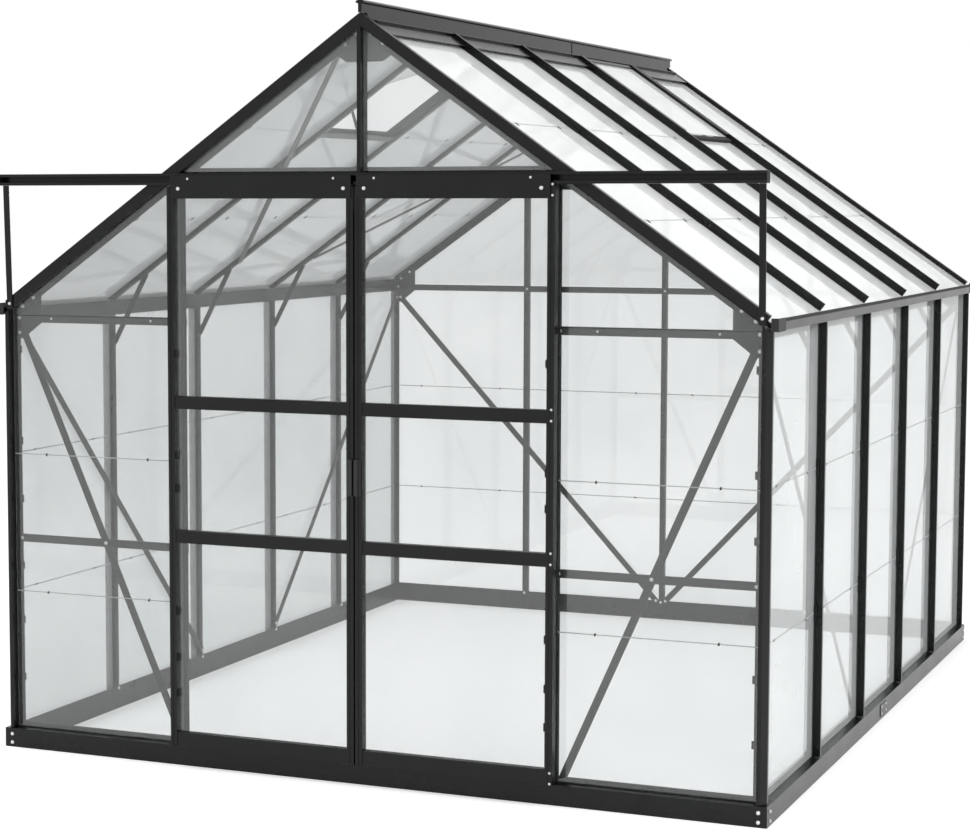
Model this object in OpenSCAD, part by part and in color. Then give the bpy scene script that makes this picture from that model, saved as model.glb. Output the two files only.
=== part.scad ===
// Glass greenhouse: a glazed aluminium frame on a low base, with two sliding
// doors in the front gable and one hinged vent in each roof slope.
// +X is to the right of the doors, +Y runs from the doors to the rear gable and
// +Z is up. The origin lies on the ground, at the centre of the overall box.

/* [Overall size] */
// Distance between glazing bar centres, across the gables and along the sides
bar_pitch = 625; // [500:5:750]
// Number of bays along each side wall
side_bays = 5; // [4:1:8]
// Height of the roof surface above the ground, over the side walls
eaves_h = 1464; // [1200:1:1800]
// Pitch of the roof in degrees
roof_pitch = 35; // [28:1:42]

/* [Base] */
// Height of the base's upright outer face
base_face_h = 62; // [40:1:90]
// Rise of the base's ledge from its outer edge to the glass
base_lip_h = 3; // [2:1:8]
// Distance that the base and the bars' heads stand out from the frame
base_out = 10; // [6:1:16]
// Wall thickness of the base section
base_wall = 2.5; // [1.5:0.1:4]
// Height of the upstand that the bars' feet are bolted to
upstand_h = 14; // [10:1:24]

/* [Frame sections] */
// Distance from the last bar centre to the outer face of a corner
corner_inset = 20; // [18:1:30]
// Width of the head along the outer edge of a glazing bar
head_w = 12; // [9:1:18]
// Depth of a bar's head
head_d = 15; // [10:1:20]
// Width of the neck between the head and the glass
neck_w = 6; // [4:0.5:8]
// Depth of the glass behind the frame's outer faces
glass_depth = 16; // [12:1:20]
// Depth of the frame from its outer faces to its inner ones
bar_d = 34; // [28:1:40]
// Thickness of a bar's web
web_t = 3; // [2:0.5:4]
// Width of a bar's inner foot
foot_w = 20; // [14:1:26]
// Thickness of feet and flanges
foot_t = 3; // [2:0.5:4]
// Distance from a corner to the inner side of its post's head
post_face = 23; // [20:1:30]
// Distance that a corner post stands out sideways
post_out = 4; // [0:1:10]
// Reach of the inner flanges of posts and rafters from the corner
flange_reach = 42; // [34:1:55]
// Height of a gable rafter's front cap
rafter_face = 34; // [26:1:45]
// Reach of a gable rafter's lower flange below the roof surface
rafter_flange = 54; // [44:1:70]

/* [Glass] */
// Thickness of the glass
glass_t = 3; // [3:1:4]
// Gap between stacked panes
pane_gap = 1.5; // [1:0.5:3]

/* [Bracing] */
// Width of a flat brace
brace_w = 24; // [16:1:32]
// Thickness of braces and straps
brace_t = 3; // [2:0.5:4]
// Thickness of gussets, header and gable rails
plate_t = 3.7; // [2:0.1:5]
// Width of the gable rails
rail_w = 26; // [18:1:36]
// Width of a knee strap
knee_w = 18; // [12:1:24]
// Distance from the eaves to each end of a knee strap
knee_reach = 160; // [120:5:220]
// Reach of the front header below and above the door track
header_reach = 17; // [12:1:24]

/* [Doors] */
// Width of one door leaf
leaf_w = 637.5; // [500:0.5:760]
// Thickness of a door leaf
leaf_t = 30; // [24:1:40]
// Width of a door stile
stile_w = 23.5; // [18:0.5:32]
// Height of the two middle rails of a door
mid_rail_h = 40; // [30:1:55]
// Height of the bottom rail of a door
bottom_rail_h = 47; // [35:1:60]
// Height of the lowest door pane
low_pane_h = 604; // [450:1:650]
// Height of the middle door pane
mid_pane_h = 383; // [280:1:420]
// Height of the plate that hangs a door
hanger_h = 71; // [55:1:90]
// Height of the door track
track_h = 36; // [32:1:45]
// Depth of the door track
track_d = 36; // [30:1:45]
// Distance from the ground to the foot of a door handle
handle_z = 899; // [800:1:1100]
// Height of a door handle
handle_h = 110; // [80:1:160]
// Reach of a door handle in front of the stile
handle_out = 11; // [8:1:20]

/* [Roof vents] */
// Bay of the open left vent, counted from the front
left_vent_bay = 2; // [1:1:4]
// Bay of the closed right vent, counted from the front
right_vent_bay = 4; // [1:1:4]
// Angle at which the left vent stands open
left_vent_angle = 20; // [0:1:30]
// Length of a vent along the slope
vent_len = 485; // [350:5:550]
// Width of a vent's side rail
vent_rail_w = 18; // [12:1:24]
// Gap between a vent's side and the head of the bar beside it
vent_side_gap = 11; // [6:1:14]

/* [Ridge and gutters] */
// Height of the ridge above the peak of the rafters
ridge_rise = 38; // [25:1:60]
// Thickness of the ridge web
ridge_t = 12; // [8:1:18]
// Reach of the ridge's upstand down the slope
ridge_reach = 50; // [42:1:65]
// Thickness of the ridge's flaps and of the vents' leaves below the frame's outer faces
flap_t = 3; // [2:0.5:4]
// Distance that a gutter stands out from the side wall
gutter_out = 20; // [14:1:30]
// Depth of the gutter's outer face
gutter_face = 34; // [28:1:45]

/* [Hidden] */
$fn = 48;

frame_colour = [0.16, 0.16, 0.16];
inner_colour = [0.45, 0.46, 0.46];
glass_colour = [0.80, 0.85, 0.87, 0.45];

// clearance between pieces that are bolted or clipped together
fit = 0.3;
// clearance between the moving doors and what they pass
run = 5.5;
big = 9000;

// the frame without its base, track and doors
gable_bays = 4;
frame_w = gable_bays * bar_pitch + 2 * corner_inset;
frame_l = side_bays * bar_pitch + 2 * corner_inset;
half_w = frame_w / 2;
half_l = frame_l / 2;
apex_z = eaves_h + half_w * tan(roof_pitch);
front_reach = base_out + run + leaf_t + fit + handle_out;
y_shift = (front_reach - base_out) / 2;

// layers of the walls and roof, measured inward from the outer face
cap_in = glass_depth;
glass_in = cap_in + fit;
core_in = glass_in + glass_t + fit;
layer_in = bar_d + fit;
brace_in = layer_in + plate_t + fit;
link_w = max(core_in, post_face) + 1;
pane_edge = neck_w / 2 + 1.5;
corner_edge = link_w + 1;

base_top = base_face_h + base_lip_h;
base_in = layer_in + plate_t;
frame_z = base_top + fit;
// how far the rafters reach below the roof surface, and the frame inward at its ends
rafter_in = max(rafter_face, bar_d);
end_in = max(flange_reach, base_in);
upstand_top = base_top + upstand_h;

// gutters, measured down from the eaves height
gutter_t = 3;
gutter_floor = eaves_h - 40;
gutter_inner_drop = 69;
end_cap_t = 2;
end_cap_len = 82;

// lengths along the slope
tail_in = 4;
slope_end = (half_w - tail_in) / cos(roof_pitch);
glass_over = 9;
glass_top = ridge_reach + 6;
glass_end = (half_w + glass_over) / cos(roof_pitch);
slope_row = (glass_end - glass_top + pane_gap) / 3;
bar_top = ridge_reach + fit;

// rows of glass in the walls
pane_z0 = base_top + 2;
pane_z1 = gutter_floor - 4;
wall_row = (pane_z1 - pane_z0 + pane_gap) / 3;

// door head: the track meets the rafters just outside the door posts
head_x = bar_pitch + 58;
track_top = apex_z - head_x * tan(roof_pitch);
track_z0 = track_top - track_h;
track_half = half_w - 10;
track_wall = 3;
track_lip = 9;
peak_z = track_top + 5;

// doors, measured outward from the front face of the frame
leaf_gap = 5;
leaf_back = base_out + run;
leaf_front = leaf_back + leaf_t;
leaf_z0 = base_face_h + 6;
leaf_top = track_z0 - run;
leaf_wall = 2.5;
slot_d = 8;
slot_w = glass_t + 0.6;
slot_in = 6;
rail_t = leaf_t - 4;
hanger_t = 3;
hanger_inset = 14;
hanger_z1 = track_top - 7;
hanger_z0 = hanger_z1 - hanger_h;
wheel_r = 13;
wheel_t = 10;
axle_r = 4;
low_rail_top = leaf_z0 + bottom_rail_h;
rail_1_z = low_rail_top + low_pane_h;
rail_2_z = rail_1_z + mid_rail_h + mid_pane_h;
top_rail_z = hanger_z0 + 4;

// vents
vent_top = ridge_reach + 4;
vent_rail_h = 12;
vent_hinge_h = 6;
vent_side = head_w / 2 + vent_side_gap;
sill_gap = 8;
sill_w = 22;

ROWS = [0, 1, 2];

function bar_y(i) = -half_l + corner_inset + i * bar_pitch;
function roof_z(x, depth) = apex_z - x * tan(roof_pitch) - depth / cos(roof_pitch);

// ---- placing ----

module piece(colour) {
    color(colour) translate([0, y_shift, 0]) children();
}

module both_sides() {
    children();
    mirror([1, 0, 0]) children();
}

module both_ends() {
    children();
    mirror([0, 1, 0]) children();
}

// local y runs inward from the front face
module at_front() {
    translate([0, -half_l, 0]) children();
}

// local x runs down the right slope and local z stands square to it
module on_slope() {
    translate([0, 0, apex_z]) rotate([0, roof_pitch, 0]) children();
}

// draws an outline of x and z, and gives it the thickness t from depth y0
module upright_plate(y0, t) {
    translate([0, y0 + t, 0]) rotate([90, 0, 0]) linear_extrude(t) children();
}

// an outline of y and depth, drawn along the slope from s0 to s1
module along_slope(s0, s1, y) {
    translate([s0, y, 0]) mirror([0, 0, 1]) rotate([90, 0, 90])
        linear_extrude(s1 - s0) children();
}

// everything above the roof surface, less a depth
module above_roof(depth) {
    both_sides() on_slope() translate([-big / 2, -big / 2, -depth]) cube([big, big, big]);
}

// a flat strip between two points of an outline plane
module strip(a, b, w, over) {
    d = b - a;
    translate(a) rotate(atan2(d[1], d[0])) translate([-over, -w / 2])
        square([norm(d) + 2 * over, w]);
}

// ---- sections ----

// glazing bar: head and neck in front of the glass, and a seat, web and foot behind it
module bar_section() {
    head_in = head_d - base_out;
    right = [[head_w / 2, -base_out], [head_w / 2, head_in], [neck_w / 2, head_in],
        [neck_w / 2, core_in], [foot_w / 2, core_in], [foot_w / 2, core_in + foot_t],
        [web_t / 2, core_in + foot_t], [web_t / 2, bar_d - foot_t],
        [foot_w / 2, bar_d - foot_t], [foot_w / 2, bar_d]];
    n = len(right);
    polygon(concat(right, [for (i = [1:n]) [-right[n - i][0], right[n - i][1]]]));
}

// corner section: an outer part with the given outline, which starts at the end of
// the second face, then a core behind the glass and two inner flanges
module corner_section(outer, reach_a, reach_b) {
    polygon(concat(outer, [[link_w, cap_in], [link_w, core_in],
        [bar_d, core_in], [bar_d, bar_d - foot_t], [reach_a, bar_d - foot_t], [reach_a, bar_d],
        [bar_d, bar_d], [bar_d, reach_b], [bar_d - foot_t, reach_b], [bar_d - foot_t, bar_d],
        [core_in, bar_d], [core_in, link_w], [cap_in, link_w]]));
}

// two flat caps that meet at the corner
function capped_corner(face_a, face_b) = [[cap_in, face_b], [0, face_b], [0, 0],
    [face_a, 0], [face_a, cap_in]];

// a head on each face, with a splay between them
function splayed_corner() = let (edge = post_face - head_w) [[cap_in, post_face],
    [-post_out, post_face], [-post_out, edge], [edge, -base_out], [post_face, -base_out],
    [post_face, cap_in]];

// hollows inside the outer part and the core
module corner_hollows() {
    wall = 2.5;
    side = bar_d - core_in - 2 * wall;
    translate([core_in + wall, core_in + wall]) square(side);
    translate([wall, wall]) square(cap_in - wall);
}

// base: closed section with a sloping lip and an upstand behind the glass
module base_section() {
    difference() {
        polygon([[-base_out, 0], [base_in, 0], [base_in, upstand_top],
            [layer_in, upstand_top], [layer_in, base_top], [glass_in, base_top],
            [-base_out, base_face_h]]);
        polygon([[base_wall - base_out, base_wall], [base_in - base_wall - plate_t, base_wall],
            [base_in - base_wall - plate_t, base_top - base_wall],
            [glass_in, base_top - base_wall],
            [base_wall - base_out, base_face_h - base_wall]]);
    }
}

// a length of base with mitred ends; local y runs inward and x along it
module base_length(len) {
    half = len / 2 + base_out;
    difference() {
        rotate([90, 0, 90]) translate([0, 0, -half]) linear_extrude(2 * half) base_section();
        both_sides() translate([half - fit / 2, -base_out, -1]) rotate([0, 0, 45])
            translate([0, -big / 2, 0]) cube([big, big, eaves_h]);
    }
}

// ---- base ----

module base_front() {
    piece(frame_colour) at_front() base_length(frame_w);
}

module base_rear() {
    piece(frame_colour) mirror([0, 1, 0]) at_front() base_length(frame_w);
}

module base_sides() {
    piece(frame_colour) both_sides() translate([half_w, 0, 0]) rotate([0, 0, 90])
        base_length(frame_l);
}

module base_corner_brackets() {
    arm = 60;
    inner = base_in + fit;
    piece(inner_colour) both_sides() both_ends()
        translate([-half_w + inner, -half_l + inner, 8]) linear_extrude(base_top - 16)
            polygon([[0, 0], [arm, 0], [arm, brace_t], [brace_t, brace_t], [brace_t, arm],
                [0, arm]]);
}

module base_splice_plates() {
    plate_len = 100;
    plate_h = 40;
    piece(frame_colour) both_sides()
        translate([half_w + base_out + fit, -plate_len / 2, (base_face_h - plate_h) / 2])
            cube([1.5, plate_len, plate_h]);
}

// ---- uprights and roof frame ----

module corner_posts() {
    piece(frame_colour) both_sides() both_ends() difference() {
        translate([-half_w, -half_l, frame_z]) linear_extrude(apex_z)
            corner_section(splayed_corner(), flange_reach, flange_reach);
        translate([-half_w, -half_l, 0]) linear_extrude(big) corner_hollows();
        above_roof(rafter_in + fit);
    }
}

module side_wall_bars() {
    piece(frame_colour) both_sides() for (i = [1:side_bays - 1])
        translate([half_w, bar_y(i), frame_z]) rotate([0, 0, 90])
            linear_extrude(gutter_floor - fit - frame_z) bar_section();
}

// gable upright: its head stops below the rafter's cap and its foot below the flange
module gable_upright(x, z0) {
    difference() {
        translate([x, -half_l, z0]) linear_extrude(apex_z - z0) bar_section();
        above_roof(rafter_in + fit);
        intersection() {
            above_roof(rafter_flange + fit);
            translate([-half_w, -half_l + bar_d - foot_t - fit, 0])
                cube([frame_w, big, big]);
        }
    }
}

module door_posts() {
    piece(frame_colour) both_sides() difference() {
        gable_upright(bar_pitch, frame_z);
        // the head is cut away behind the door track
        translate([bar_pitch - head_w, -half_l - base_out - 1, track_z0 - fit])
            cube([2 * head_w, base_out + 1, track_h + 2 * fit]);
    }
}

module front_gable_bar() {
    piece(frame_colour) gable_upright(0, track_top + fit);
}

module rear_gable_bars() {
    piece(frame_colour) mirror([0, 1, 0]) for (i = [-1, 0, 1])
        gable_upright(i * bar_pitch, frame_z);
}

// one rafter over the right half of the front gable
module gable_rafter() {
    difference() {
        on_slope() along_slope(-rafter_flange, slope_end, -half_l) difference() {
            corner_section(capped_corner(post_face, rafter_face), flange_reach, rafter_flange);
            corner_hollows();
        }
        translate([fit / 2 - big, -big / 2, 0]) cube([big, big, big]);
        // the lower flange stops short of the corner post
        intersection() {
            translate([half_w - flange_reach - fit, -big / 2, 0]) cube([big, big, big]);
            on_slope() translate([-big / 2, -big / 2, -big - rafter_face])
                cube([big, big, big]);
        }
    }
}

module gable_rafters() {
    piece(frame_colour) both_ends() both_sides() gable_rafter();
}

module roof_bars() {
    piece(frame_colour) both_sides() on_slope() for (i = [1:side_bays - 1])
        along_slope(bar_top, slope_end, bar_y(i)) bar_section();
}

// ---- ridge and gutters ----

module ridge_cap_section() {
    top = apex_z + ridge_rise;
    brim = ridge_t / 2 + 8;
    polygon([[-ridge_t / 2, apex_z + fit], [ridge_t / 2, apex_z + fit],
        [ridge_t / 2, top - 12], [brim, top - 9], [brim, top - 5], [ridge_t / 2, top],
        [-ridge_t / 2, top], [-brim, top - 5], [-brim, top - 9], [-ridge_t / 2, top - 12]]);
}

// bays without a vent keep the ridge's flap over the top edge of the glass
function has_vent(side, i) = i == (side > 0 ? right_vent_bay : left_vent_bay);

module ridge_flap(side) {
    flap_len = 62;
    clear = head_w / 2 + fit;
    top_in = 2;
    for (i = [1:side_bays]) if (!has_vent(side, i)) {
        y0 = i == 1 ? -half_l + post_face + fit : bar_y(i - 1) + clear;
        y1 = i == side_bays ? half_l - post_face - fit : bar_y(i) - clear;
        translate([ridge_reach - 1, y0, -top_in - flap_t]) cube([flap_len, y1 - y0, flap_t]);
    }
}

module ridge_side(side) {
    lip = 6;
    floor_in = 18;
    wall = 3;
    y0 = -half_l + bar_d + fit;
    on_slope() {
        translate([0, y0, -floor_in - wall]) cube([ridge_reach, -2 * y0, wall]);
        translate([ridge_reach - wall, y0, -floor_in - wall])
            cube([wall, -2 * y0, floor_in + wall + lip]);
        ridge_flap(side);
    }
}

module ridge_beam() {
    web_drop = 60;
    y0 = -half_l + end_in + fit;
    piece(frame_colour) {
        upright_plate(-half_l, frame_l) ridge_cap_section();
        translate([-ridge_t / 2, y0, apex_z - web_drop])
            cube([ridge_t, -2 * y0, web_drop + 1]);
        difference() {
            union() {
                ridge_side(1);
                mirror([1, 0, 0]) ridge_side(-1);
            }
            // no floor where the gable rafters meet
            translate([-big / 2, -big / 2, apex_z]) cube([big, big, 0.01]);
        }
    }
}

module gutter_section(inner) {
    floor_top = gutter_floor + gutter_t;
    lip_top = gutter_floor + gutter_face;
    out = half_w + gutter_out;
    wall_x = half_w - bar_d - fit;
    wall_top = roof_z(wall_x, bar_d) - fit;
    if (inner)
        polygon([[out, gutter_floor], [out, lip_top], [out - gutter_t, lip_top],
            [out - gutter_t, floor_top], [wall_x, floor_top], [wall_x, wall_top],
            [wall_x - gutter_t, wall_top], [wall_x - gutter_t, eaves_h - gutter_inner_drop],
            [wall_x, eaves_h - gutter_inner_drop], [wall_x, gutter_floor]]);
    else
        polygon([[out, gutter_floor], [out, lip_top], [out - gutter_t, lip_top],
            [out - gutter_t, floor_top], [half_w + fit, floor_top],
            [half_w + fit, gutter_floor]]);
}

module gutters() {
    inner_l = frame_l - 2 * (end_in + fit);
    piece(frame_colour) both_sides() {
        upright_plate(-half_l, frame_l) gutter_section(false);
        upright_plate(-inner_l / 2, inner_l) gutter_section(true);
    }
}

module gutter_end_caps() {
    x0 = half_w + fit;
    x1 = half_w + gutter_out + fit;
    y0 = -half_l - fit - end_cap_t;
    h = gutter_face + 2 * end_cap_t;
    piece(frame_colour) both_sides() both_ends() translate([0, 0, gutter_floor - end_cap_t]) {
        translate([x1, y0, 0]) cube([end_cap_t, end_cap_len, h]);
        translate([x0, y0, 0]) cube([x1 - x0 + end_cap_t, end_cap_t, h]);
    }
}

// ---- rails, gussets and braces ----

module front_header() {
    z0 = track_z0 - header_reach;
    z1 = track_top + header_reach;
    x0 = (apex_z - z0 - base_in / cos(roof_pitch)) / tan(roof_pitch);
    x1 = (apex_z - z1 - base_in / cos(roof_pitch)) / tan(roof_pitch);
    piece(inner_colour) upright_plate(-half_l + layer_in, plate_t)
        polygon([[-x0, z0], [x0, z0], [x1, z1], [-x1, z1]]);
}

// height of the middle of the rail at the eaves and of the lower side rail
rail_top_z = pane_z1 - 10;
rail_low_z = 690;

module gable_rail(x0, x1, z) {
    translate([x0, -half_l + layer_in, z - rail_w / 2]) cube([x1 - x0, plate_t, rail_w]);
}

module front_side_rails() {
    inner = bar_pitch - foot_w / 2;
    outer = half_w - bar_d - fit;
    piece(inner_colour) both_sides() {
        gable_rail(inner, outer - plate_t, rail_low_z);
        gable_rail(inner, half_w - eaves_gusset_w - fit, rail_top_z);
    }
}

module rear_gable_rail() {
    x = half_w - eaves_gusset_w - fit;
    piece(inner_colour) mirror([0, 1, 0]) gable_rail(-x, x, rail_top_z);
}

eaves_gusset_w = 120;
eaves_gusset_h = 119;

module eaves_gussets() {
    x0 = half_w - bar_d - fit;
    x1 = half_w - eaves_gusset_w;
    z0 = eaves_h - eaves_gusset_h;
    piece(inner_colour) both_sides() both_ends()
        upright_plate(-half_l + layer_in, plate_t)
            polygon([[x0, z0], [x0, roof_z(x0, layer_in)], [x1, roof_z(x1, layer_in)],
                [x1, rail_top_z - rail_w / 2], [x0 - 18, z0]]);
}

module apex_gussets() {
    half = 105;
    foot = 60;
    drop = 30;
    low = roof_z(half, layer_in);
    piece(inner_colour) both_ends() upright_plate(-half_l + layer_in, plate_t)
        polygon([[0, roof_z(0, layer_in)], [half, low], [foot, low - drop],
            [-foot, low - drop], [-half, low]]);
}

// foot and head of the braces, from the ground
brace_foot_z = base_top + 14;
brace_head_z = eaves_h - 98;
// distance from the frame's end faces to the heads of the braces along the sides
brace_end = base_in + 16;

module gable_brace(x_foot) {
    upright_plate(-half_l + brace_in, brace_t)
        strip([half_w - brace_in - brace_w / 2 - 2, brace_head_z], [x_foot, brace_foot_z],
            brace_w, 6);
}

module gable_braces() {
    piece(inner_colour) {
        both_sides() gable_brace(bar_pitch + 22);
        mirror([0, 1, 0]) both_sides() gable_brace(brace_w / 2 + 9);
    }
}

module wall_brace(from_end, to_bar) {
    y_foot = bar_y(to_bar);
    y_head = from_end * (half_l - brace_end);
    translate([half_w - layer_in, 0, 0]) rotate([90, 0, -90]) linear_extrude(brace_t)
        strip([-y_head, brace_head_z], [-y_foot, upstand_top + 18], brace_w, 4);
}

module wall_braces() {
    piece(inner_colour) both_sides() {
        wall_brace(-1, 2);
        wall_brace(1, side_bays - 2);
    }
}

module roof_brace(from_end, to_bar) {
    s_head = 130;
    s_foot = slope_end - knee_reach - 60;
    y_head = from_end * (half_l - brace_end);
    translate([0, 0, -layer_in - brace_t]) linear_extrude(brace_t)
        strip([s_head, y_head], [s_foot, bar_y(to_bar)], brace_w, 4);
}

module roof_braces() {
    piece(inner_colour) both_sides() on_slope() {
        roof_brace(-1, 2);
        roof_brace(1, side_bays - 2);
    }
}

module knee_straps() {
    low = [half_w - bar_d + 1, eaves_h - knee_reach];
    s = slope_end - knee_reach;
    depth = bar_d - 1;
    high = [s * cos(roof_pitch) - depth * sin(roof_pitch),
        apex_z - s * sin(roof_pitch) - depth * cos(roof_pitch)];
    piece(inner_colour) both_sides() for (i = [1:side_bays - 1])
        upright_plate(bar_y(i) + foot_w / 2 + fit, brace_t) strip(low, high, knee_w, 9);
}

// ---- glass ----

// a pane in the plane of the front gable
module gable_pane(x0, x1, z0, z1) {
    translate([x0, -half_l + glass_in, z0]) cube([x1 - x0, glass_t, z1 - z0]);
}

module under_roof() {
    difference() {
        children();
        above_roof(corner_edge);
    }
}

module side_bay_glass() {
    x0 = bar_pitch + pane_edge;
    x1 = half_w - corner_edge;
    for (r = ROWS)
        gable_pane(x0, x1, pane_z0 + r * wall_row, pane_z0 + (r + 1) * wall_row - pane_gap);
    under_roof() gable_pane(x0, x1, pane_z1 + pane_gap, apex_z);
}

module front_side_glass() {
    piece(glass_colour) both_sides() side_bay_glass();
}

module front_peak_glass() {
    piece(glass_colour) both_sides() under_roof()
        gable_pane(pane_edge, bar_pitch - pane_edge, peak_z, apex_z);
}

module middle_bay_glass() {
    x0 = pane_edge;
    x1 = bar_pitch - pane_edge;
    for (r = ROWS)
        gable_pane(x0, x1, pane_z0 + r * wall_row, pane_z0 + (r + 1) * wall_row - pane_gap);
    under_roof() gable_pane(x0, x1, pane_z1 + pane_gap, peak_z - pane_gap);
    under_roof() gable_pane(x0, x1, peak_z, apex_z);
}

module rear_gable_glass() {
    piece(glass_colour) mirror([0, 1, 0]) both_sides() {
        side_bay_glass();
        middle_bay_glass();
    }
}

function bay_y0(i) = i == 1 ? -half_l + corner_edge : bar_y(i - 1) + pane_edge;
function bay_y1(i) = i == side_bays ? half_l - corner_edge : bar_y(i) - pane_edge;

module side_wall_glass() {
    piece(glass_colour) both_sides() for (i = [1:side_bays]) for (r = ROWS)
        translate([half_w - glass_in - glass_t, bay_y0(i), pane_z0 + r * wall_row])
            cube([glass_t, bay_y1(i) - bay_y0(i), wall_row - pane_gap]);
}

module slope_glass(side) {
    on_slope() for (i = [1:side_bays]) for (r = ROWS) if (r > 0 || !has_vent(side, i))
        translate([glass_top + r * slope_row, bay_y0(i), -glass_in - glass_t])
            cube([slope_row - pane_gap, bay_y1(i) - bay_y0(i), glass_t]);
}

module roof_glass() {
    piece(glass_colour) {
        slope_glass(1);
        mirror([1, 0, 0]) slope_glass(-1);
    }
}

// ---- roof vents ----

// puts a vent's pieces on both slopes, each in its own bay and at its own angle
module on_both_vents() {
    on_slope() translate([0, bar_y(right_vent_bay - 1), 0]) children();
    mirror([1, 0, 0]) on_slope() translate([0, bar_y(left_vent_bay - 1), 0]) children();
}

// local x runs down the vent from its hinge corner and z stands out of it
module vent_leaf(angle) {
    translate([vent_top, 0, -flap_t]) rotate([0, -angle, 0]) children();
}

module vent_rails() {
    y0 = vent_side;
    y1 = bar_pitch - vent_side;
    for (y = [y0, y1 - vent_rail_w]) translate([0, y, 0])
        cube([vent_len, vent_rail_w, vent_rail_h]);
    translate([0, y0 + 1, 0]) cube([vent_rail_w, y1 - y0 - 2, vent_hinge_h]);
}

module vent_pane() {
    y0 = vent_side + 2;
    translate([1, y0, -fit - glass_t]) cube([vent_len - 1, bar_pitch - 2 * y0, glass_t]);
}

module vent_frames() {
    piece(frame_colour) {
        on_slope() translate([0, bar_y(right_vent_bay - 1), 0]) vent_leaf(0) vent_rails();
        mirror([1, 0, 0]) on_slope() translate([0, bar_y(left_vent_bay - 1), 0])
            vent_leaf(left_vent_angle) vent_rails();
    }
}

module vent_glass() {
    piece(glass_colour) {
        on_slope() translate([0, bar_y(right_vent_bay - 1), 0]) vent_leaf(0) vent_pane();
        mirror([1, 0, 0]) on_slope() translate([0, bar_y(left_vent_bay - 1), 0])
            vent_leaf(left_vent_angle) vent_pane();
    }
}

// the sills lie between the bars' seats and feet
sill_s = vent_top + vent_len + sill_gap;
sill_y = web_t / 2 + fit;
sill_in = core_in + foot_t + fit;

module vent_sills() {
    piece(frame_colour) on_both_vents()
        translate([sill_s, sill_y, -bar_d + foot_t + fit])
            cube([sill_w, bar_pitch - 2 * sill_y, bar_d - foot_t - fit - sill_in]);
}

// clip under the glass edge, with an arm that reaches the sill
module vent_stays() {
    clip = [40, 24, 3];
    arm_w = 10;
    mid = bar_pitch / 2;
    a = left_vent_angle;
    end = vent_len - clip[0] / 2;
    drop = fit + glass_t + fit + clip[2];
    head = [vent_top + end * cos(a) + drop * sin(a), -flap_t + end * sin(a) - drop * cos(a)];
    foot = [sill_s + 4, -sill_in + 1];
    arm_in = flap_t + drop + brace_t;
    turn = 4;
    piece(frame_colour) {
        on_slope() translate([0, bar_y(right_vent_bay - 1) + mid, 0]) {
            vent_leaf(0) translate([vent_len - clip[0], -clip[1] / 2, -drop]) cube(clip);
            translate([sill_s - fit - vent_len / 2, -arm_w / 2, -arm_in])
                cube([vent_len / 2, arm_w, brace_t + 1]);
            // the arm's end turns down to the sill
            translate([sill_s - fit - turn, -arm_w / 2, -sill_in - turn])
                cube([turn, arm_w, sill_in + turn - arm_in + brace_t]);
        }
        mirror([1, 0, 0]) on_slope() translate([0, bar_y(left_vent_bay - 1) + mid, 0]) {
            vent_leaf(a) translate([vent_len - clip[0], -clip[1] / 2, -drop]) cube(clip);
            difference() {
                upright_plate(-brace_t / 2, brace_t) strip(head, foot, arm_w, 0);
                vent_leaf(a) translate([0, -big / 2, -drop + 1]) cube([big, big, big]);
                translate([sill_s, -big / 2, -bar_d]) cube([big, big, bar_d - sill_in + fit]);
            }
        }
    }
}

// ---- door track ----

module door_track() {
    section = [[0, 0], [track_d, 0], [track_d, track_lip], [track_d - track_wall, track_lip],
        [track_d - track_wall, track_wall], [track_wall, track_wall],
        [track_wall, track_h - track_wall], [track_d - track_wall, track_h - track_wall],
        [track_d - track_wall, track_h - track_lip], [track_d, track_h - track_lip],
        [track_d, track_h], [0, track_h]];
    piece(frame_colour) at_front() translate([-track_half, -fit, track_z0])
        rotate([90, 0, 90]) linear_extrude(2 * track_half)
            polygon([for (p = section) [-p[0], p[1]]]);
}

strut_w = 20;
strut_t = 4;
strut_x = track_half - 15;

// each strut leans back from the track to the eaves
module track_struts() {
    z0 = eaves_h - 24;
    lean = 14;
    len = track_z0 - fit - z0;
    piece(frame_colour) both_sides() at_front()
        upright_strut(strut_x - strut_w / 2, z0, len, lean);
}

module upright_strut(x0, z0, len, lean) {
    translate([x0, -fit, z0]) rotate([90, 0, 90]) linear_extrude(strut_w)
        polygon([[0, 0], [-strut_t, 0], [-strut_t - lean, len], [-lean, len]]);
}

// ---- doors: the right leaf is drawn, and the left one mirrors it ----

leaf_x0 = leaf_gap / 2;
leaf_x1 = leaf_x0 + leaf_w;
glass_y = leaf_back + leaf_t / 2 - slot_w / 2;

// slot for a pane, open towards the middle of the leaf
module stile_section() {
    difference() {
        square([stile_w, leaf_t]);
        translate([leaf_wall, leaf_wall])
            square([stile_w - slot_d - 2 * leaf_wall, leaf_t - 2 * leaf_wall]);
        translate([stile_w - slot_d, (leaf_t - slot_w) / 2]) square([slot_d + 1, slot_w]);
        translate([stile_w / 2 - 1.5, -1]) square([3, 2.5]);
    }
}

module door_stiles() {
    h = leaf_top - leaf_z0;
    at_front() {
        translate([leaf_x0, -leaf_front, leaf_z0]) linear_extrude(h) stile_section();
        translate([leaf_x1, -leaf_front, leaf_z0]) mirror([1, 0, 0]) linear_extrude(h)
            stile_section();
    }
}

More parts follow.
